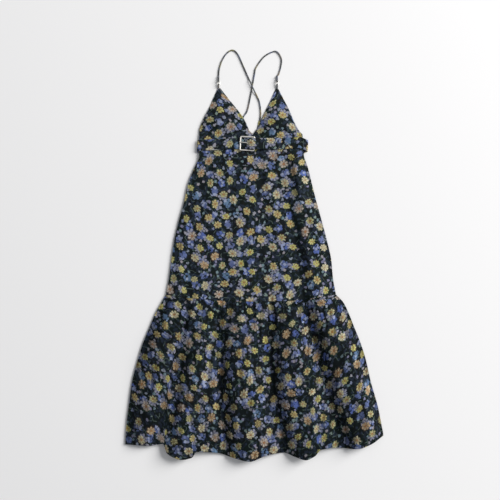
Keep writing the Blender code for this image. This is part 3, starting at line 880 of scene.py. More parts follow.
BACK_HEM = (
    (-386, -556),
    (-280, -558),
    (-180, -576),
    (0, -584),
    (120, -582),
    (220, -570),
    (320, -562),
    (386, -532),
)
skirt_left, skirt_right = column(SKIRT_SIDES, 1), column(SKIRT_SIDES, 2)
flounce_left, flounce_right = column(FLOUNCE_SIDES, 1), column(FLOUNCE_SIDES, 2)
seam_line = curve_through(FLOUNCE_SEAM)
front_hem, back_hem = curve_through(FRONT_HEM), curve_through(BACK_HEM)
SEAM_LEFT, SEAM_RIGHT = SKIRT_SIDES[-1][1:]
SEAM_WIDTH = SEAM_RIGHT - SEAM_LEFT
HEM_LEFT, HEM_RIGHT = FRONT_HEM[0][0], FRONT_HEM[-1][0]
print("flounce seam:", SEAM_WIDTH, "mm wide, hem:", HEM_RIGHT - HEM_LEFT, "mm")

# %% [markdown]
# ## Folds of the front
#
# The flounce falls in five broad flutes, which start as low swells in the skirt. Each
# crest is rounded, lies nearer to its left valley and falls away more steeply there: in
# the photo those left sides are the long dark bands. Smaller creases, listed one by one,
# and the seam's gathers lie on top. Real gathers come from a thread drawn through
# the edge, which crowds the cloth unevenly, so their widths and reaches are random.

# %% Valleys, flutes and creases
VALLEY_HEIGHTS = (300, 110, -125, -340, -600)
VALLEYS = (
    (-165, -226, -265, -356, -389),
    (-140, -182, -206, -248, -300),
    (-55, -75, -98, -102, -84),
    (15, 32, 50, 54, 92),
    (60, 113, 147, 203, 285),
    (149, 201, 245, 341, 389),
)
# Each flute's rise at the last four of those heights, and how far across its crest lies
FLUTES = (
    (1.5, 2.5, 7, 9, 0.50),
    (2.5, 3.5, 11, 15, 0.43),
    (2.5, 3.5, 13, 16.8, 0.40),
    (3.0, 4.0, 13, 15, 0.33),
    (6.0, 7.0, 12, 13, 0.33),
)
# Each crease runs from x, y to x, y, and has a bow, width, rise and lean
SKIRT_CREASES = (
    (136, 110, 190, -170, 9, 19, 3.4, 0.2),
    (98, 392, 146, 120, 6, 21, 7.5, 0.2),
    (78, 376, 122, 130, 6, 12, -2.2, 0),
    (112, 120, 164, -170, 8, 12, -1.8, 0),
    (-175, 190, -177, 96, 1, 4, 1.3, 0),
    (-64, 196, -61, 132, 0, 4, 1.4, 0),
    (-120, 296, -158, 60, 6, 13, 1.8, 0.3),
    (-20, 300, -36, 70, -5, 15, 1.5, 0.3),
    (30, 296, 70, 120, -8, 9, 2.0, 0.3),
    (118, 292, 176, 80, -9, 10, 2.4, 0.3),
    (146, 168, 178, -30, 7, 7, -2.4, 0),
    (-205, 120, -238, -90, 4, 9, 1.8, 0.3),
    (-120, 40, -135, -100, -3, 10, 1.4, 0.3),
    (24, 60, 44, -110, 3, 11, 1.6, 0.3),
    (200, 60, 218, -90, -2, 8, 1.8, 0.3),
    (-90, 250, -40, 200, 3, 7, 0.9, 0),
    (60, 230, 10, 170, -4, 8, 0.9, 0),
    (-15, 10, -5, -100, 2, 7, 1.2, 0.3),
)
FLOUNCE_CREASES = (
    (194, -110, 350, -640, 8, 50, 15.5, 0),
    (146, -110, 272, -640, 8, 24, -6.5, 0),
    (104, -140, 168, -640, -18, 48, 15.5, 0),
    (48, -140, 100, -640, -16, 24, -6.5, 0),
    (-58, -150, -34, -640, 0, 46, 14.0, 0),
    (-108, -150, -88, -640, 0, 22, -6.0, 0),
    (-162, -135, -246, -640, 14, 32, 9.5, 0),
    (-196, -140, -292, -640, 14, 12, -4.0, 0),
    (-255, -190, -316, -630, 6, 30, 6.0, 0),
    (-262, -200, -350, -560, 8, 12, 2.5, 0.3),
    (138, -400, 141, -500, 1, 5, 1.8, 0),
    (-244, -134, -330, -330, 9, 9, 2.6, 0.3),
    (-205, -140, -236, -300, -6, 8, 2.2, 0.3),
    (-150, -140, -168, -360, 5, 12, 2.8, 0.4),
    (-112, -150, -118, -290, 3, 8, -2.4, 0),
    (-40, -150, -44, -330, -4, 12, 2.8, 0.4),
    (12, -150, 22, -310, 4, 10, 2.6, 0.4),
    (110, -146, 128, -330, -5, 12, 2.8, 0.4),
    (205, -134, 268, -320, -8, 10, 2.8, 0.4),
    (232, -130, 300, -270, 5, 7, 2.2, 0.3),
    (-120, -380, -150, -600, 7, 12, 2.4, 0.4),
    (20, -400, 14, -600, 5, 12, 2.4, 0.4),
    (190, -380, 226, -575, 6, 13, 2.8, 0.4),
    (318, -340, 356, -560, -6, 14, 3.0, 0.3),
    (-18, -450, -26, -606, 3, 10, 2.0, 0.3),
    (-222, -400, -226, -600, 3, 9, 2.0, 0.3),
)


print("flutes:", len(FLUTES), "and creases:", len(SKIRT_CREASES) + len(FLOUNCE_CREASES))


# %% Flutes
def flutes(x, y):
    """rise * (1 - d ^ 1.8), where d runs from 0 at the crest to 1 at either valley."""
    lines = np.stack([curve_through(zip(VALLEY_HEIGHTS, row))(y) for row in VALLEYS])
    rises = [(0.0, *row[:4]) for row in FLUTES]
    rises = np.stack([curve_through(zip(VALLEY_HEIGHTS, row))(y) for row in rises])
    which = np.clip((x[None] > lines[1:-1]).sum(axis=0), 0, len(FLUTES) - 1)
    left = np.take_along_axis(lines, which[None], 0)[0]
    right = np.take_along_axis(lines, which[None] + 1, 0)[0]
    crest = np.array([row[4] for row in FLUTES])[which]
    t = np.clip((x - left) / (right - left), 0, 1)
    from_crest = np.where(t < crest, 1 - t / crest, (t - crest) / (1 - crest))
    return np.take_along_axis(rises, which[None], 0)[0] * (1 - from_crest**1.8)


ACROSS_FLOUNCE = np.linspace(-300, 300, 7)
crests = flutes(ACROSS_FLOUNCE, 0 * ACROSS_FLOUNCE - 340)
print("across the middle of the flounce:", crests.round(1).tolist())


# %% Gathers
def gathers(along, down, seed, length):
    """The seam's gathers: narrow ridges of uneven height and reach that fan out.

    Each ridge is a bell curve across. It swells just below the seam and dies out after
    its own reach. along is the place on the seam and down the distance below it.
    """
    chance = np.random.default_rng(seed)
    total = np.zeros_like(along)
    at = 0.0
    while at < length:
        wide = chance.uniform(2.2, 4.0)
        long = chance.random() < 0.4
        reach = chance.uniform(90, 240) if long else chance.uniform(18, 60)
        rise = chance.uniform(1.6, 3.4) if long else chance.uniform(0.8, 1.6)
        lean = chance.uniform(-0.05, 0.05)
        spread = wide * (1 + down / 110)
        bell = np.exp(-(((along - at - lean * down) / spread) ** 2))
        total += rise * bell * eased(down / 7) * np.exp(-((down / reach) ** 2))
        at += wide * chance.uniform(2.0, 3.0)
    return total


# %% [markdown]
# ## Where the dress lies over its belt
#
# The belt goes right round the dress, so it also passes under it. The back panels ride
# up over that run, and the front panels follow them. Two eased ramps make that step,
# because cloth bends softly over an edge and touches the floor only some way off.

# %% Heights of the lying panels
BELT_WIDTH = 33.0
BELT_LINE = (
    (-168, 330),
    (-120, 332),
    (-43, 335.4),
    (0, 334.4),
    (80, 335.2),
    (137, 338.4),
    (148, 334),
    (157.2, 330),
)
belt_line = curve_through(BELT_LINE)
RAMP_TOP, RAMP_BOTTOM = (350, 375), (300, 270)
SEAM_RISE = 2.8
BELT_CLOTH = 1.6
BELT_RISE = BELT_CLOTH + GAP
print("the panels ride up over the belt by", BELT_RISE, "mm")


def belt_lift(y):
    """BELT_RISE over the belt's run, eased down to 0 along a ramp above and one below."""
    above = eased((RAMP_TOP[1] - y) / (RAMP_TOP[1] - RAMP_TOP[0]))
    below = eased((y - RAMP_BOTTOM[1]) / (RAMP_BOTTOM[0] - RAMP_BOTTOM[1]))
    return BELT_RISE * np.minimum(above, below)


def front_rest(y, side):
    """Underside of the front: 1.8 mm up, and 3.4 mm at the side, eased over 16 mm.

    So it stays over the back panel, which curls up towards the same seam.
    """
    return belt_lift(y) + SEAM_RISE + 0.6 + (1.2 - SEAM_RISE) * eased(side / 16)


def back_rest(y, side):
    """Underside of the back: on the floor, curling up over the last 14 mm to the seam."""
    return belt_lift(y) + 0.02 + SEAM_RISE * (1 - eased((side + 1.5) / 14))


# %% [markdown]
# ## Skirt
#
# Two flared panels, front and back, sewn together at the sides. Both are grids from side
# to side and from the underbust seam to the flounce seam. The front takes the swells and
# creases, and small tucks under the belt, where the cloth is held in. The back is hidden
# and lies flat, so it keeps a coarser grid and only a faint unevenness.


# %% Grid of a skirt panel
def skirt_grid(columns, rows, inset):
    """x, y and the distance from the nearer side seam.

    Lines run from the underbust to the flounce seam and from one side curve to the
    other, both in straight shares. inset narrows the panel at each side.
    """
    u = grid_steps(columns, 0.002)[None, :]
    v = grid_steps(rows, 0.002)[:, None]
    foot = between(SEAM_LEFT, SEAM_RIGHT, u)
    y = between(UNDERBUST - 0.2, seam_line(foot) + 0.1, v)
    x = between(skirt_left(y) + inset, skirt_right(y) - inset, u)
    side = np.minimum(x - skirt_left(y), skirt_right(y) - x)
    return x, y, side


# %% Turned and stitched edges
PLAIN, SEAMED, HEMMED, BACK_HEMMED = 0.55, 0.75, 1.05, 0.9
SEAM_ALLOWANCE, HEM_WIDTH = 6, 11
STITCH_DEPTH, STITCH_WIDTH, STITCH_INSET = 0.12, 0.7, 1.5


def edge_thickness(distance, width, plain, turned):
    """Cloth with a turned edge: thicker within its width, with a dip at the stitching.

    The dip is a bell curve that lies STITCH_INSET inside the turned edge's own border.
    """
    thick = plain + (turned - plain) * eased((width - distance) / 1.5 + 0.5)
    from_stitch = distance - width + STITCH_INSET
    return thick - STITCH_DEPTH * np.exp(-((from_stitch / STITCH_WIDTH) ** 2))


print("hem at its thickest:", edge_thickness(0.0, HEM_WIDTH, PLAIN, HEMMED), "mm")


# %% Height of the front
CREST_LIMIT, CREST_SPARE = 20, 7


def tucks(x, y):
    """Short upright folds below the belt, where the waist is drawn in.

    They are a sine 33 mm long, bent and faded by noise, and gone 130 mm below the belt.
    """
    wave = 0.5 + 0.5 * np.sin(x / 5.2 + 1.7 * noise(x, y, 26, 12))
    wave *= 0.5 + 0.5 * noise(x, y, 38, 15)
    return 1.8 * wave * eased((y - 205) / 70)


def front_height(x, y, side, extra):
    """Underside of the front, shared by skirt and flounce so that they meet at the seam.

    It is the flutes, some air under the cloth, and the creases, which calm down beside
    the side seams. A hyperbolic tangent rounds off what passes CREST_LIMIT. Near the
    belt the height is held under the belt's lower edge, and it grows again below it.
    """
    folds = creases(x, y, SKIRT_CREASES) + creases(x, y, FLOUNCE_CREASES) + extra
    lower = eased((-100 - y) / 120)
    folds += 0.7 * noise(x, y, 58, 21) + 0.35 * noise(x, y, 23, 22)
    folds += lower * (1.3 * noise(x, y / 2.4, 46, 42) + 0.5 * noise(x, y / 1.6, 19, 43))
    air = (3.0 + 2.0 * lower - 3.5 * eased((-490 - y) / 90)) * eased(side / 30)
    height = np.maximum(flutes(x, y) + air + eased(side / 16) * folds, 0)
    over = height - CREST_LIMIT
    capped = CREST_LIMIT + CREST_SPARE * np.tanh(over / CREST_SPARE)
    height = np.where(over > 0, capped, height)
    below_belt = belt_line(x) - BELT_WIDTH / 2 - y
    height *= 0.12 + 0.88 * eased((below_belt + 3) / 34)
    return front_rest(y, side) + np.minimum(height, 0.7 + 0.5 * np.maximum(below_belt, 0))


def as_seen(x, y, height):
    """Draws raised points in, because the outline was read where they appear.

    A point at a height looks farther from the picture's middle than one on the floor.
    """
    shrink = 1 - height * MM / CAMERA_HEIGHT
    middle_x, middle_y = VIEW_CENTRE[0] / MM, VIEW_CENTRE[1] / MM
    return middle_x + (x - middle_x) * shrink, middle_y + (y - middle_y) * shrink


AT_SEAM = np.array([-200.0, -100.0, 0.0, 100.0, 200.0])
print("underside at the seam:", front_height(AT_SEAM, 0 * AT_SEAM - 130, 60, 0).round(1))

# %% Skirt front and back
GATHERS_SEED = 41
BACK_INSET = 1.5

x, y, side = skirt_grid(232, 206, 0)
above_seam = y - seam_line(x)
# The gathers pull short puckers into the skirt's edge, a sixth as long and far lower.
pucker = 0.35 * gathers(x - SEAM_LEFT, 6 * above_seam, GATHERS_SEED, SEAM_WIDTH)
under = front_height(x, y, side, tucks(x, y) + pucker)
thick = edge_thickness(above_seam, SEAM_ALLOWANCE, PLAIN, SEAMED)
x, y = as_seen(x, y, under)
skirt_front = cloth_sheet("front_skirt", x, y, under, thick, cloth_finish, (310, 210))

x, y, side = skirt_grid(130, 130, BACK_INSET)
under = back_rest(y, side) + 0.1 * (1 + noise(x, y, 40, 31)) * eased(side / 20)
skirt_back = cloth_sheet("back_skirt", x, y, under, PLAIN + 0 * x, cloth_finish, (1310, 60))

# %% [markdown]
# ## Flounce
#
# Each flounce is a straight strip, gathered at the top onto the skirt. Its grid fans out
# from the seam to the hem, which dips where a flute comes towards the viewer. The hem is
# turned twice and stitched, so it is thicker there. Skirt and flounce are two grids with
# one height formula: the folds run through the seam as they do on the real dress, and
# the print may still change there, because the two were cut apart.


# %% Grid of a flounce
def flounce_grid(columns, rows, hem, inset):
    """x, y, the distance from the nearer side, and the places along and below the seam.

    Each line from the seam to the hem keeps its share of the width, so the lines fan
    out. The last value is the height above the hem.
    """
    u = grid_steps(columns, 0.0014)[None, :]
    v = grid_steps(rows, 0.0016)[:, None]
    top = between(SEAM_LEFT, SEAM_RIGHT, u)
    foot = between(HEM_LEFT, HEM_RIGHT, u)
    y = between(seam_line(top) - 0.1, hem(foot), v)
    left_y = between(FLOUNCE_SEAM[0][1], hem(HEM_LEFT), v)
    right_y = between(FLOUNCE_SEAM[-1][1], hem(HEM_RIGHT), v)
    left, right = flounce_left(left_y) + inset, flounce_right(right_y) - inset
    x = between(left, right, u)
    side = np.minimum(x - left, right - x)
    down = seam_line(top) - y
    return x, y, side, u * SEAM_WIDTH + 0 * v, down, y - hem(foot)


print("flounce depth:", round(float(flounce_grid(21, 21, front_hem, 0)[4].max())), "mm")

# %% Flounce front and back
x, y, side, along, down, to_hem = flounce_grid(400, 116, front_hem, 0)
under = front_height(x, y, side, gathers(along, down, GATHERS_SEED, SEAM_WIDTH))
thick = edge_thickness(to_hem, HEM_WIDTH, PLAIN, HEMMED)
x, y = as_seen(x, y, under)
flounce_front = cloth_sheet("front_flounce", x, y, under, thick, crimp_shaded_finish, (140, 905))

x, y, side, along, down, to_hem = flounce_grid(180, 90, back_hem, BACK_INSET)
under = back_rest(y, side) + 0.12 * (1 + noise(x, y, 40, 51)) * eased(side / 20)
thick = edge_thickness(to_hem, HEM_WIDTH, PLAIN, BACK_HEMMED)
flounce_back = cloth_sheet("back_flounce", x, y, under, thick, crimp_shaded_finish, (2140, 905))

# %% [markdown]
# ## Bodice
#
# Each cup is a soft triangle whose fullness comes from gathers under the bust. Its two
# slanting edges are bound, so they are a little thicker. The back bodice is low, with a
# point under each strap, and lies beneath the cups. A cup could be a piece of a sphere,
# but empty cups lie nearly flat: a low dome with a few soft creases from below is closer.

# %% Outlines of the bodice
LEFT_CUP_SIDES = (
    (335, -165, -3.5),
    (362, -165, -4),
    (375, -165, -15),
    (389, -161, -21),
    (414, -150, -34),
    (438, -138, -51),
    (465, -126, -73),
    (502, -110, -102),
)
RIGHT_CUP_SIDES = (
    (335, -3.1, 146),
    (362, -3.2, 141),
    (374, 4, 134),
    (386, 12.6, 127),
    (408, 21.5, 116),
    (424, 29.4, 110),
    (448, 40, 99),
    (473, 52, 86),
    (500, 64, 72),
)
BACK_TOP = (
    (-165, 380),
    (-110, 386),
    (-60, 396),
    (-41, 405),
    (-33, 405),
    (-20, 376),
    (-4, 360),
    (8, 380),
    (13, 405),
    (21, 405),
    (45, 394),
    (90, 382),
    (137, 371),
    (146, 362),
)
LEFT_APEX, RIGHT_APEX = LEFT_CUP_SIDES[-1][0], RIGHT_CUP_SIDES[-1][0]
CUP_RISE = 7.0
BINDING, BOUND = 5, 1.0  # width and thickness of the bound edges
COVERED_END, COVERED_RISE = (-34, 408), 2.4  # the right strap's end, under the left cup
LEFT_CUP_CREASES = (
    (-168, 359, -6, 361, 0, 4.0, 2.2, 0),
    (-40, 352, -72, 410, 5, 8, 1.3, 0),
    (-70, 352, -92, 420, 3, 9, 1.2, 0),
    (-100, 352, -108, 415, -2, 9, 1.3, 0),
    (-132, 352, -126, 405, -3, 8, 1.1, 0),
    (-20, 360, -48, 392, 3, 6, 1.0, 0),
    (-86, 450, -100, 492, 2, 5, 0.8, 0),
)
RIGHT_CUP_CREASES = (
    (-4, 361, 146, 362, 0, 4.0, 2.2, 0),
    (22, 352, 44, 412, -5, 8, 1.3, 0),
    (48, 352, 62, 424, -3, 9, 1.2, 0),
    (78, 352, 76, 420, 2, 9, 1.3, 0),
    (108, 352, 94, 405, 3, 8, 1.1, 0),
    (58, 440, 66, 488, -2, 5, 0.8, 0),
)
print("cups:", LEFT_APEX - UNDERBUST, "and", RIGHT_APEX - UNDERBUST, "mm high")


# %% Cups and back bodice
def make_cup(name, sides, apex, creased, seed, shift):
    """A dome on the triangle: rise * sin(pi * u) ^ 0.8, fading at the belt and the point.

    The cup rests on the back bodice at its foot and sinks to the floor towards the
    point. It is lifted where it covers the sewn end of a strap.
    """
    first, last = column(sides, 1), column(sides, 2)
    u = grid_steps(120, 0.006)[None, :]
    v = grid_steps(124, 0.003)[:, None]
    y = between(UNDERBUST + 0.2, apex, v) + 0 * u
    x = between(first(y), last(y), u)
    edge = np.minimum(x - first(y), last(y) - x)
    full = eased((y - 356) / 40) * eased((apex - y) / 90)
    dome = CUP_RISE * full * np.sin(np.pi * u) ** 0.8
    away = np.hypot(x - COVERED_END[0], y - COVERED_END[1])
    cover = COVERED_RISE * eased((34 - away) / 22)
    folds = creases(x, y, creased) + 0.35 * noise(x, y, 24, seed)
    folds *= eased(edge / 10) * eased((y - 350) / 12)
    rest = (belt_lift(y) + CLOTH + GAP) * (1 - eased((y - 415) / 40)) + 0.05
    under = rest + np.maximum(dome + folds, cover)
    thick = edge_thickness(edge, BINDING, 0.6, BOUND)
    return cloth_sheet(name, x, y, under, thick, cloth_finish, shift)


cup_left = make_cup(
    "left_cup", LEFT_CUP_SIDES, LEFT_APEX, LEFT_CUP_CREASES, 61, (905, 1010)
)
cup_right = make_cup(
    "right_cup", RIGHT_CUP_SIDES, RIGHT_APEX, RIGHT_CUP_CREASES, 62, (655, 1490)
)

top_xs, top_ys = np.array(BACK_TOP, float).T
u = grid_steps(170, 0.003)[None, :]
v = grid_steps(60, 0.01)[:, None]
x = between(-163.5, 144.5, u) + 0 * v
y = between(UNDERBUST + 0.2, np.interp(x, top_xs, top_ys), v)
under = belt_lift(y) + 0.05
bodice_back = cloth_sheet("back_bodice", x, y, under, 0.9 + 0 * x, cloth_finish, (70, 1710))

# %% [markdown]
# ## Straps, loops and rings
#
# A narrow strap is a tube of cloth turned right side out and pressed. Its end goes
# through a small ring and is sewn back on itself, and a short loop holds the ring to the
# cup. The profile is a flattened oval carried along the strap's route on the floor. Ring
# and strap could be drawn apart, but the half turn through the ring is what holds them.

# %% Sizes and routes
STRAP_WIDTH, STRAP_THICK = 4.0, 2.0
RING_HALF, RING_CORNER, RING_WIRE = (3.2, 4.9), 1.4, 0.8
RING_HEIGHT = 517.0
RING_RAISE = STRAP_THICK + 0.3 + RING_WIRE
RING_LEFT, RING_RIGHT = -107.0, 68.5
DOUBLED_END = 17.0
STRAP_STEP, LOOP_STEP = 1.2, 0.5
CROSSING = (-6, 506)
LEFT_STRAP = (
    (-107, 546),
    (-105, 560),
    (-98, 582),
    (-84, 605),
    (-66, 616),
    (-50, 604),
    (-35, 572),
    (-6, 506),
    (14, 464),
    (19, 430),
    (17, 405.8),
)
RIGHT_STRAP = (
    (73, 543),
    (79, 565),
    (81, 590),
    (69, 610),
    (54, 610.5),
    (28, 595),
    (5, 563),
    (0, 541),
    (-9, 492),
    (-20, 438),
    (-32, 417),
    (-36, 406.3),
)
print("straps:", STRAP_WIDTH, "mm wide, rings raised by", round(RING_RAISE, 2), "mm")


# %% Rings and frames
def round_rectangle(half, corner, turned, count):
    """Points and outward directions round a rectangle with round corners."""
    signs = ((1, 1), (-1, 1), (-1, -1), (1, -1))
    outline = []
    for quarter, (sx, sy) in enumerate(signs):
        at = (sx * (half[0] - corner), sy * (half[1] - corner))
        turn = (90 * quarter, 90 * quarter + 90)
        outline.append(arc(at, (corner, corner), *turn, 12))
    outline = np.vstack(outline)
    spacing = 2 * np.pi * half[1] / count
    outline = evenly(np.vstack([outline, outline[:1]]), spacing)[:-1]
    ahead = np.roll(outline, -1, axis=0) - np.roll(outline, 1, axis=0)
    out = np.stack([ahead[:, 1], -ahead[:, 0]], axis=1)
    out /= np.linalg.norm(out, axis=1, keepdims=True)
    cos, sin = np.cos(turned), np.sin(turned)
    turn = np.array([[cos, -sin], [sin, cos]])
    return outline @ turn.T, out @ turn.T


def flat_wire(name, centre, half, corner, turned, bar):
    """A closed wire or bar round a rectangle, lying flat at its centre's height."""
    outline, out = round_rectangle(half, corner, turned, count=90)
    flat = np.zeros((len(outline), 1))
    path = np.hstack([outline, flat]) + np.array(centre)
    section = oval(len(path), 20, bar[0], bar[1], power=0.75)
    side = np.hstack([out, flat])
    return carried_strip(name, path, side, section, metal_finish, closed=True)


ring_wire = (RING_WIRE, RING_WIRE)
rings = {}
for name, ring_x in (("left_ring", RING_LEFT), ("right_ring", RING_RIGHT)):
    centre = (ring_x, RING_HEIGHT, RING_RAISE)
    rings[name] = flat_wire(name, centre, RING_HALF, RING_CORNER, 0, ring_wire)


# %% Straps
def carried_sides(path, start):
    """The side direction along a path, turned no more than the path makes it turn."""
    heading = np.gradient(path, axis=0)
    heading /= np.linalg.norm(heading, axis=1, keepdims=True)
    sides, side = [], np.array(start, float)
    for ahead in heading:
        side = side - ahead * side.dot(ahead)
        side /= np.linalg.norm(side)
        sides.append(side)
    return np.array(sides)


def make_strap(name, x, route, over_other, seed, shift):
    """A pressed tube: an oval whose width and height vary by a few parts in a hundred.

    The route starts at the sewn end, turns round the ring in a half circle and goes on
    along the floor. over_other is 1 for the strap that rises over the other one.
    """
    wire = RING_HEIGHT + RING_HALF[1]
    radius = RING_WIRE + 0.3 + STRAP_THICK / 2
    low = STRAP_THICK / 2
    doubled = low + STRAP_THICK + 0.3
    start = [(wire + DOUBLED_END, doubled), (wire + 9, doubled), (wire + 5, 4.9)]
    start += arc((wire, RING_RAISE), (radius, radius), 90, 270, 9).tolist()
    start += [(wire + 5, low), (wire + 10, low), (wire + DOUBLED_END, low)]
    first = np.array([(x, y, z) for y, z in start])
    on_floor = spline(route, 2.0)
    away = np.hypot(on_floor[:, 0] - CROSSING[0], on_floor[:, 1] - CROSSING[1])
    rise = (STRAP_THICK + GAP) * eased((30 - away) / 17) * over_other
    rest = np.column_stack([on_floor, low + rise])
    path = evenly(np.vstack([first, rest]), STRAP_STEP)
    sides = carried_sides(path, (1, 0, 0))
    place = np.arange(len(path)) * STRAP_STEP
    wide = STRAP_WIDTH / 2 * (1 + 0.07 * noise(place, 0 * place, 17, seed))
    high = STRAP_THICK / 2 * (1 + 0.06 * noise(place, 0 * place, 11, seed + 1))
    ends = np.minimum(place, place[-1] - place)
    round_end = 0.55 + 0.45 * np.sqrt(np.clip(ends / 1.5, 0, 1))
    section = oval(len(path), 22, wide * round_end, high * round_end, power=0.8)
    return carried_strip(name, path, sides, section, strap_finish, shift)


strap_left = make_strap("left_strap", RING_LEFT, LEFT_STRAP, 1, 71, (2.5, 2300))
strap_right = make_strap("right_strap", RING_RIGHT, RIGHT_STRAP, 0, 75, (51.0, 2900))


# %% Cup loops
def make_cup_loop(name, x, apex, shift):
    """A flat folded strip from the cup's point round the lower side of the ring."""
    wire = RING_HEIGHT - RING_HALF[1]
    radius = RING_WIRE + 0.3 + CLOTH / 2
    route = [(apex + 0.3, CLOTH / 2), (apex + 4, CLOTH / 2 + 0.3)]
    route += arc((wire, RING_RAISE), (radius, radius), -90, 90, 9).tolist()
    route += [(apex + 4, CLOTH * 2.5), (apex + 0.3, CLOTH * 1.5 + 0.3)]
    path = evenly(np.array([(x, y, z) for y, z in route]), LOOP_STEP)
    side = np.tile([1.0, 0, 0], (len(path), 1))
    section = oval(len(path), 20, STRAP_WIDTH / 2, CLOTH / 2, power=0.5)
    return carried_strip(name, path, side, section, strap_finish, shift)


loop_left = make_cup_loop("left_cup_loop", RING_LEFT, LEFT_APEX, (12, 3500))
loop_right = make_cup_loop("right_cup_loop", RING_RIGHT, RIGHT_APEX, (60, 3560))

# %% [markdown]
# ## Belt and buckle
#
# The belt is one strip right round the dress. One end wraps the buckle's heel bar. The
# other passes under the nose bar, over the heel bar and on as the free tip, and the
# prong comes up through its hole and rests on the nose bar. Belt and bars are carried
# along their real routes, so that what lies over what comes out by itself.

# %% Belt sizes and route
BELT_SLANT = np.radians(3.0)
BELT_LOW = BELT_CLOTH / 2
ON_DRESS = BELT_RISE + 2 * CLOTH + 2 * GAP + BELT_CLOTH / 2
HEEL_BAR, NOSE_BAR = 0.0, -42.0
FRAME_HEIGHT, FRAME_CORNER = 40.0, 3.0
BAR_WIDTH, BAR_THICK = 4.0, 2.4
BAR_RAISE = ON_DRESS + BELT_CLOTH / 2 + 0.3 + BAR_THICK / 2
PRONG_WIRE, PRONG_TILT, PRONG_HOLE = 0.8, 0.16, -17.5
BELT_BACK_LINE = 321.0
TIP_RADIUS = 5.0
BELT_STEP, PRONG_STEP = 1.0, 0.5
HEEL_END = (
    (30, 1.9),
    (22, 2.1),
    (14, 3.1),
    (7, 4.3),
)
FREE_END = (
    (-43, 0),
    (-34, 0),
    (-27, 0.9),
    (-21, 3.4),
    (-15, 5.9),
    (-9, 6.8),
    (0, 6.9),
    (7, 6.7),
    (14, 5.3),
    (24, 4.0),
    (32, 3.8),
    (42, 2.1),
    (60, 1.9),
    (80, 1.9),
)
# Ridges: along the upper and the rolled lower edge at the left, and slanting creases
BELT_CREASES = (
    (-170, 347, -50, 350, 0, 2.4, 0.7, 0),
    (-146, 325, -106, 325, 0, 1.8, 1.0, 0),
    (-146, 321, -100, 321, 0, 1.8, -0.8, 0),
    (-60, 349, -52, 318, 0, 3.0, 0.8, 0),
    (73, 358, 60, 330, 0, 1.8, 0.9, 0),
    (91, 349, 118, 306, 0, 2.4, 1.3, 0),
    (86, 349, 113, 306, 0, 2.4, -0.9, 0),
    (128, 352, 134, 316, 0, 3.0, 1.0, 0),
    (-104, 344, -88, 338, 0, 3.5, 0.8, 0),
)
print("the belt's middle lies", round(ON_DRESS, 1), "mm up, the bars'", round(BAR_RAISE, 1))


def belt_route():
    """(across, height, up) from the heel bar right round the dress to the free tip."""
    wrap = (BAR_WIDTH / 2 + GAP + BELT_CLOTH / 2, BAR_RAISE - ON_DRESS)
    path = [(a, belt_line(a), ON_DRESS + rise) for a, rise in HEEL_END]
    for a, z in arc((HEEL_BAR, BAR_RAISE), wrap, 90, 270, 12):
        path.append((a, belt_line(0.0), z))
    for a in (8, 30, 50, 80, 110, 125, 137, 142, 148):
        path.append((a, belt_line(a), ON_DRESS))
    half = (ON_DRESS - BELT_LOW) / 2
    last = BELT_LINE[-1]
    for a, z in arc((last[0], ON_DRESS - half), (half, half), 90, -90, 12):
        path.append((a, between(last[1] - 4, last[1], z / ON_DRESS), z))
    path += [(148, 322.5, BELT_LOW), (135, BELT_BACK_LINE, BELT_LOW)]
    path += [(0, BELT_BACK_LINE, BELT_LOW), (-145, BELT_BACK_LINE, BELT_LOW)]
    first = BELT_LINE[0]
    for a, z in arc((first[0], ON_DRESS - half), (half, half), 270, 90, 12):
        path.append((a, between(BELT_BACK_LINE + 1, first[1], z / ON_DRESS), z))
    for a in (-150, -120, -90, -60):
        path.append((a, belt_line(a), ON_DRESS))
    path += [(a, belt_line(a), ON_DRESS + rise) for a, rise in FREE_END]
    return np.array(path, float)


# %% Belt
def belt_section(path, side, around):
    """A flat section with rounded edges, a stitching groove near each and soft waves.

    The last millimetres narrow along a circle, so the tip has round corners. The creases
    lie on its upper face where the belt runs over the dress.
    """
    place = np.arange(len(path)) * BELT_STEP
    left_over = np.clip((place[-1] - place) / TIP_RADIUS, 0, 1)
    half = BELT_WIDTH / 2 - TIP_RADIUS * (1 - np.sqrt(1 - (1 - left_over) ** 2))
    across, up = oval(len(path), around, half, BELT_CLOTH / 2, power=0.35)
    from_edge = half[:, None] - np.abs(across)
    groove = 0.14 * np.exp(-(((from_edge - 2.2) / 0.6) ** 2))
    up = up * (1 - groove / (BELT_CLOTH / 2))
    along = np.broadcast_to(place[:, None], across.shape)
    x, y = (path[:, None, i] + across * side[i] for i in (0, 1))
    upper = (up > 0) & (path[:, None, 2] > BELT_RISE + 2)
    ridges = np.where(upper, creases(x, y, BELT_CREASES), 0)
    return across, up + 0.22 * noise(along, across * 1.4, 21, 81) + ridges * eased(from_edge)


path = evenly(belt_route(), BELT_STEP)
belt_side = np.array([np.sin(BELT_SLANT), np.cos(BELT_SLANT), 0])
sides = np.tile(belt_side, (len(path), 1))
section = belt_section(path, belt_side, around=84)
belt = carried_strip("sash_belt", path, sides, section, belt_finish, (25, 4150))


# %% Buckle and prong
def prong_height(a):
    """The prong's place up the dress: a straight line that slants across the frame."""
    return belt_line(HEEL_BAR) - 1.5 - (a - HEEL_BAR) * PRONG_TILT


middle = (HEEL_BAR + NOSE_BAR) / 2
centre = (middle, float(belt_line(middle)), BAR_RAISE)
half = ((HEEL_BAR - NOSE_BAR) / 2, FRAME_HEIGHT / 2)
bar = (BAR_WIDTH / 2, BAR_THICK / 2)
buckle = flat_wire("buckle_bars", centre, half, FRAME_CORNER, -BELT_SLANT, bar)

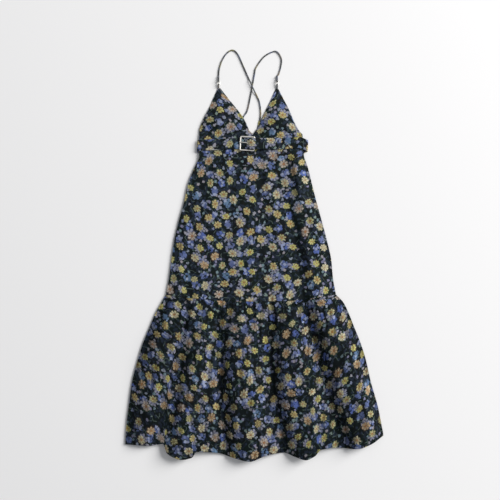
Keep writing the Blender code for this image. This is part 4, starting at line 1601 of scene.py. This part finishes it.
hang = (BAR_WIDTH / 2 + GAP + PRONG_WIRE, BAR_THICK / 2 + 0.3 + PRONG_WIRE)
route = arc((HEEL_BAR, BAR_RAISE), hang, -165, 90, 24).tolist()
prong_top = BAR_RAISE + hang[1]
route += [(a, prong_top) for a in (-8, PRONG_HOLE, -32, NOSE_BAR - 4)]
path = evenly(np.array([(a, prong_height(a), z) for a, z in route]), PRONG_STEP)
prong_side = np.array([PRONG_TILT, 1.0, 0]) / np.hypot(PRONG_TILT, 1)
sides = np.tile(prong_side, (len(path), 1))
left_over = (len(path) - 1 - np.arange(len(path))) * PRONG_STEP
tip = np.sqrt(np.clip(left_over / 2.0, 0.01, 1))
section = oval(len(path), 18, PRONG_WIRE * 1.4 * tip, PRONG_WIRE * tip)
prong = carried_strip("buckle_tongue", path, sides, section, metal_finish)

# %% [markdown]
# ## Floor
#
# A plain pale sheet of paper, wide enough for every view. It lies a little below the
# dress's underside, so that the two never share a surface.

# %% Floor
paper = bpy.data.materials.new("pale_paper")
paper.use_nodes = True
paper_shader = paper.node_tree.nodes["Principled BSDF"]
paper_shader.inputs["Base Color"].default_value = linear("#EFEFF0")
paper_shader.inputs["Roughness"].default_value = 0.9
bpy.ops.mesh.primitive_plane_add(size=12, location=(0, 0, -0.0004))
floor = bpy.context.object
floor.name = "floor"
floor.data.materials.append(paper)
print("floor at", round(floor.location.z / MM, 1), "mm")

# %% [markdown]
# ## Hand the pieces to the frame
#
# Every piece takes the place of its solid and rides on the one body. The table also lists
# the size that each cloth piece was cut to, as a dressmaker would measure the finished
# piece: gathered cloth is wider than the seam that it hangs from.

# %% Pieces and their solids
CUT = {
    # piece: (object, node, width and length of the cut, area of the cut, how it is held)
    "front_skirt": (skirt_front, "skirt_front", (0.512, 0.473), 0.200, "laid"),
    "back_skirt": (skirt_back, "skirt_back", (0.509, 0.473), 0.198, "laid"),
    "front_flounce": (flounce_front, "flounce_front", (0.84, 0.47), 0.39, "gathered"),
    "back_flounce": (flounce_back, "flounce_back", (0.84, 0.46), 0.385, "gathered"),
    "left_cup": (cup_left, "cup_left", (0.165, 0.172), 0.0178, "laid"),
    "right_cup": (cup_right, "cup_right", (0.155, 0.170), 0.0150, "laid"),
    "back_bodice": (bodice_back, "bodice_back", (0.308, 0.070), 0.0158, "laid"),
    "sash_belt": (belt, "belt", (0.033, 0.85), None, "laid"),
    "left_strap": (strap_left, "strap_left", (0.013, 0.43), 0.0020, "laid"),
    "right_strap": (strap_right, "strap_right", (0.013, 0.43), 0.0020, "laid"),
    "left_cup_loop": (loop_left, "cup_loop_left", (0.012, 0.022), 0.00013, "folded"),
    "right_cup_loop": (loop_right, "cup_loop_right", (0.012, 0.026), 0.00015, "folded"),
}
HARDWARE = {
    "buckle_frame": buckle,
    "buckle_prong": prong,
    "ring_left": rings["left_ring"],
    "ring_right": rings["right_ring"],
}
for piece, node, flat, area, held in CUT.values():
    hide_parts(node)
    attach(piece, "root")
for node, piece in HARDWARE.items():
    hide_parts(node)
    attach(piece, "root")
print("cloth pieces:", len(CUT), "and metal pieces:", len(HARDWARE))
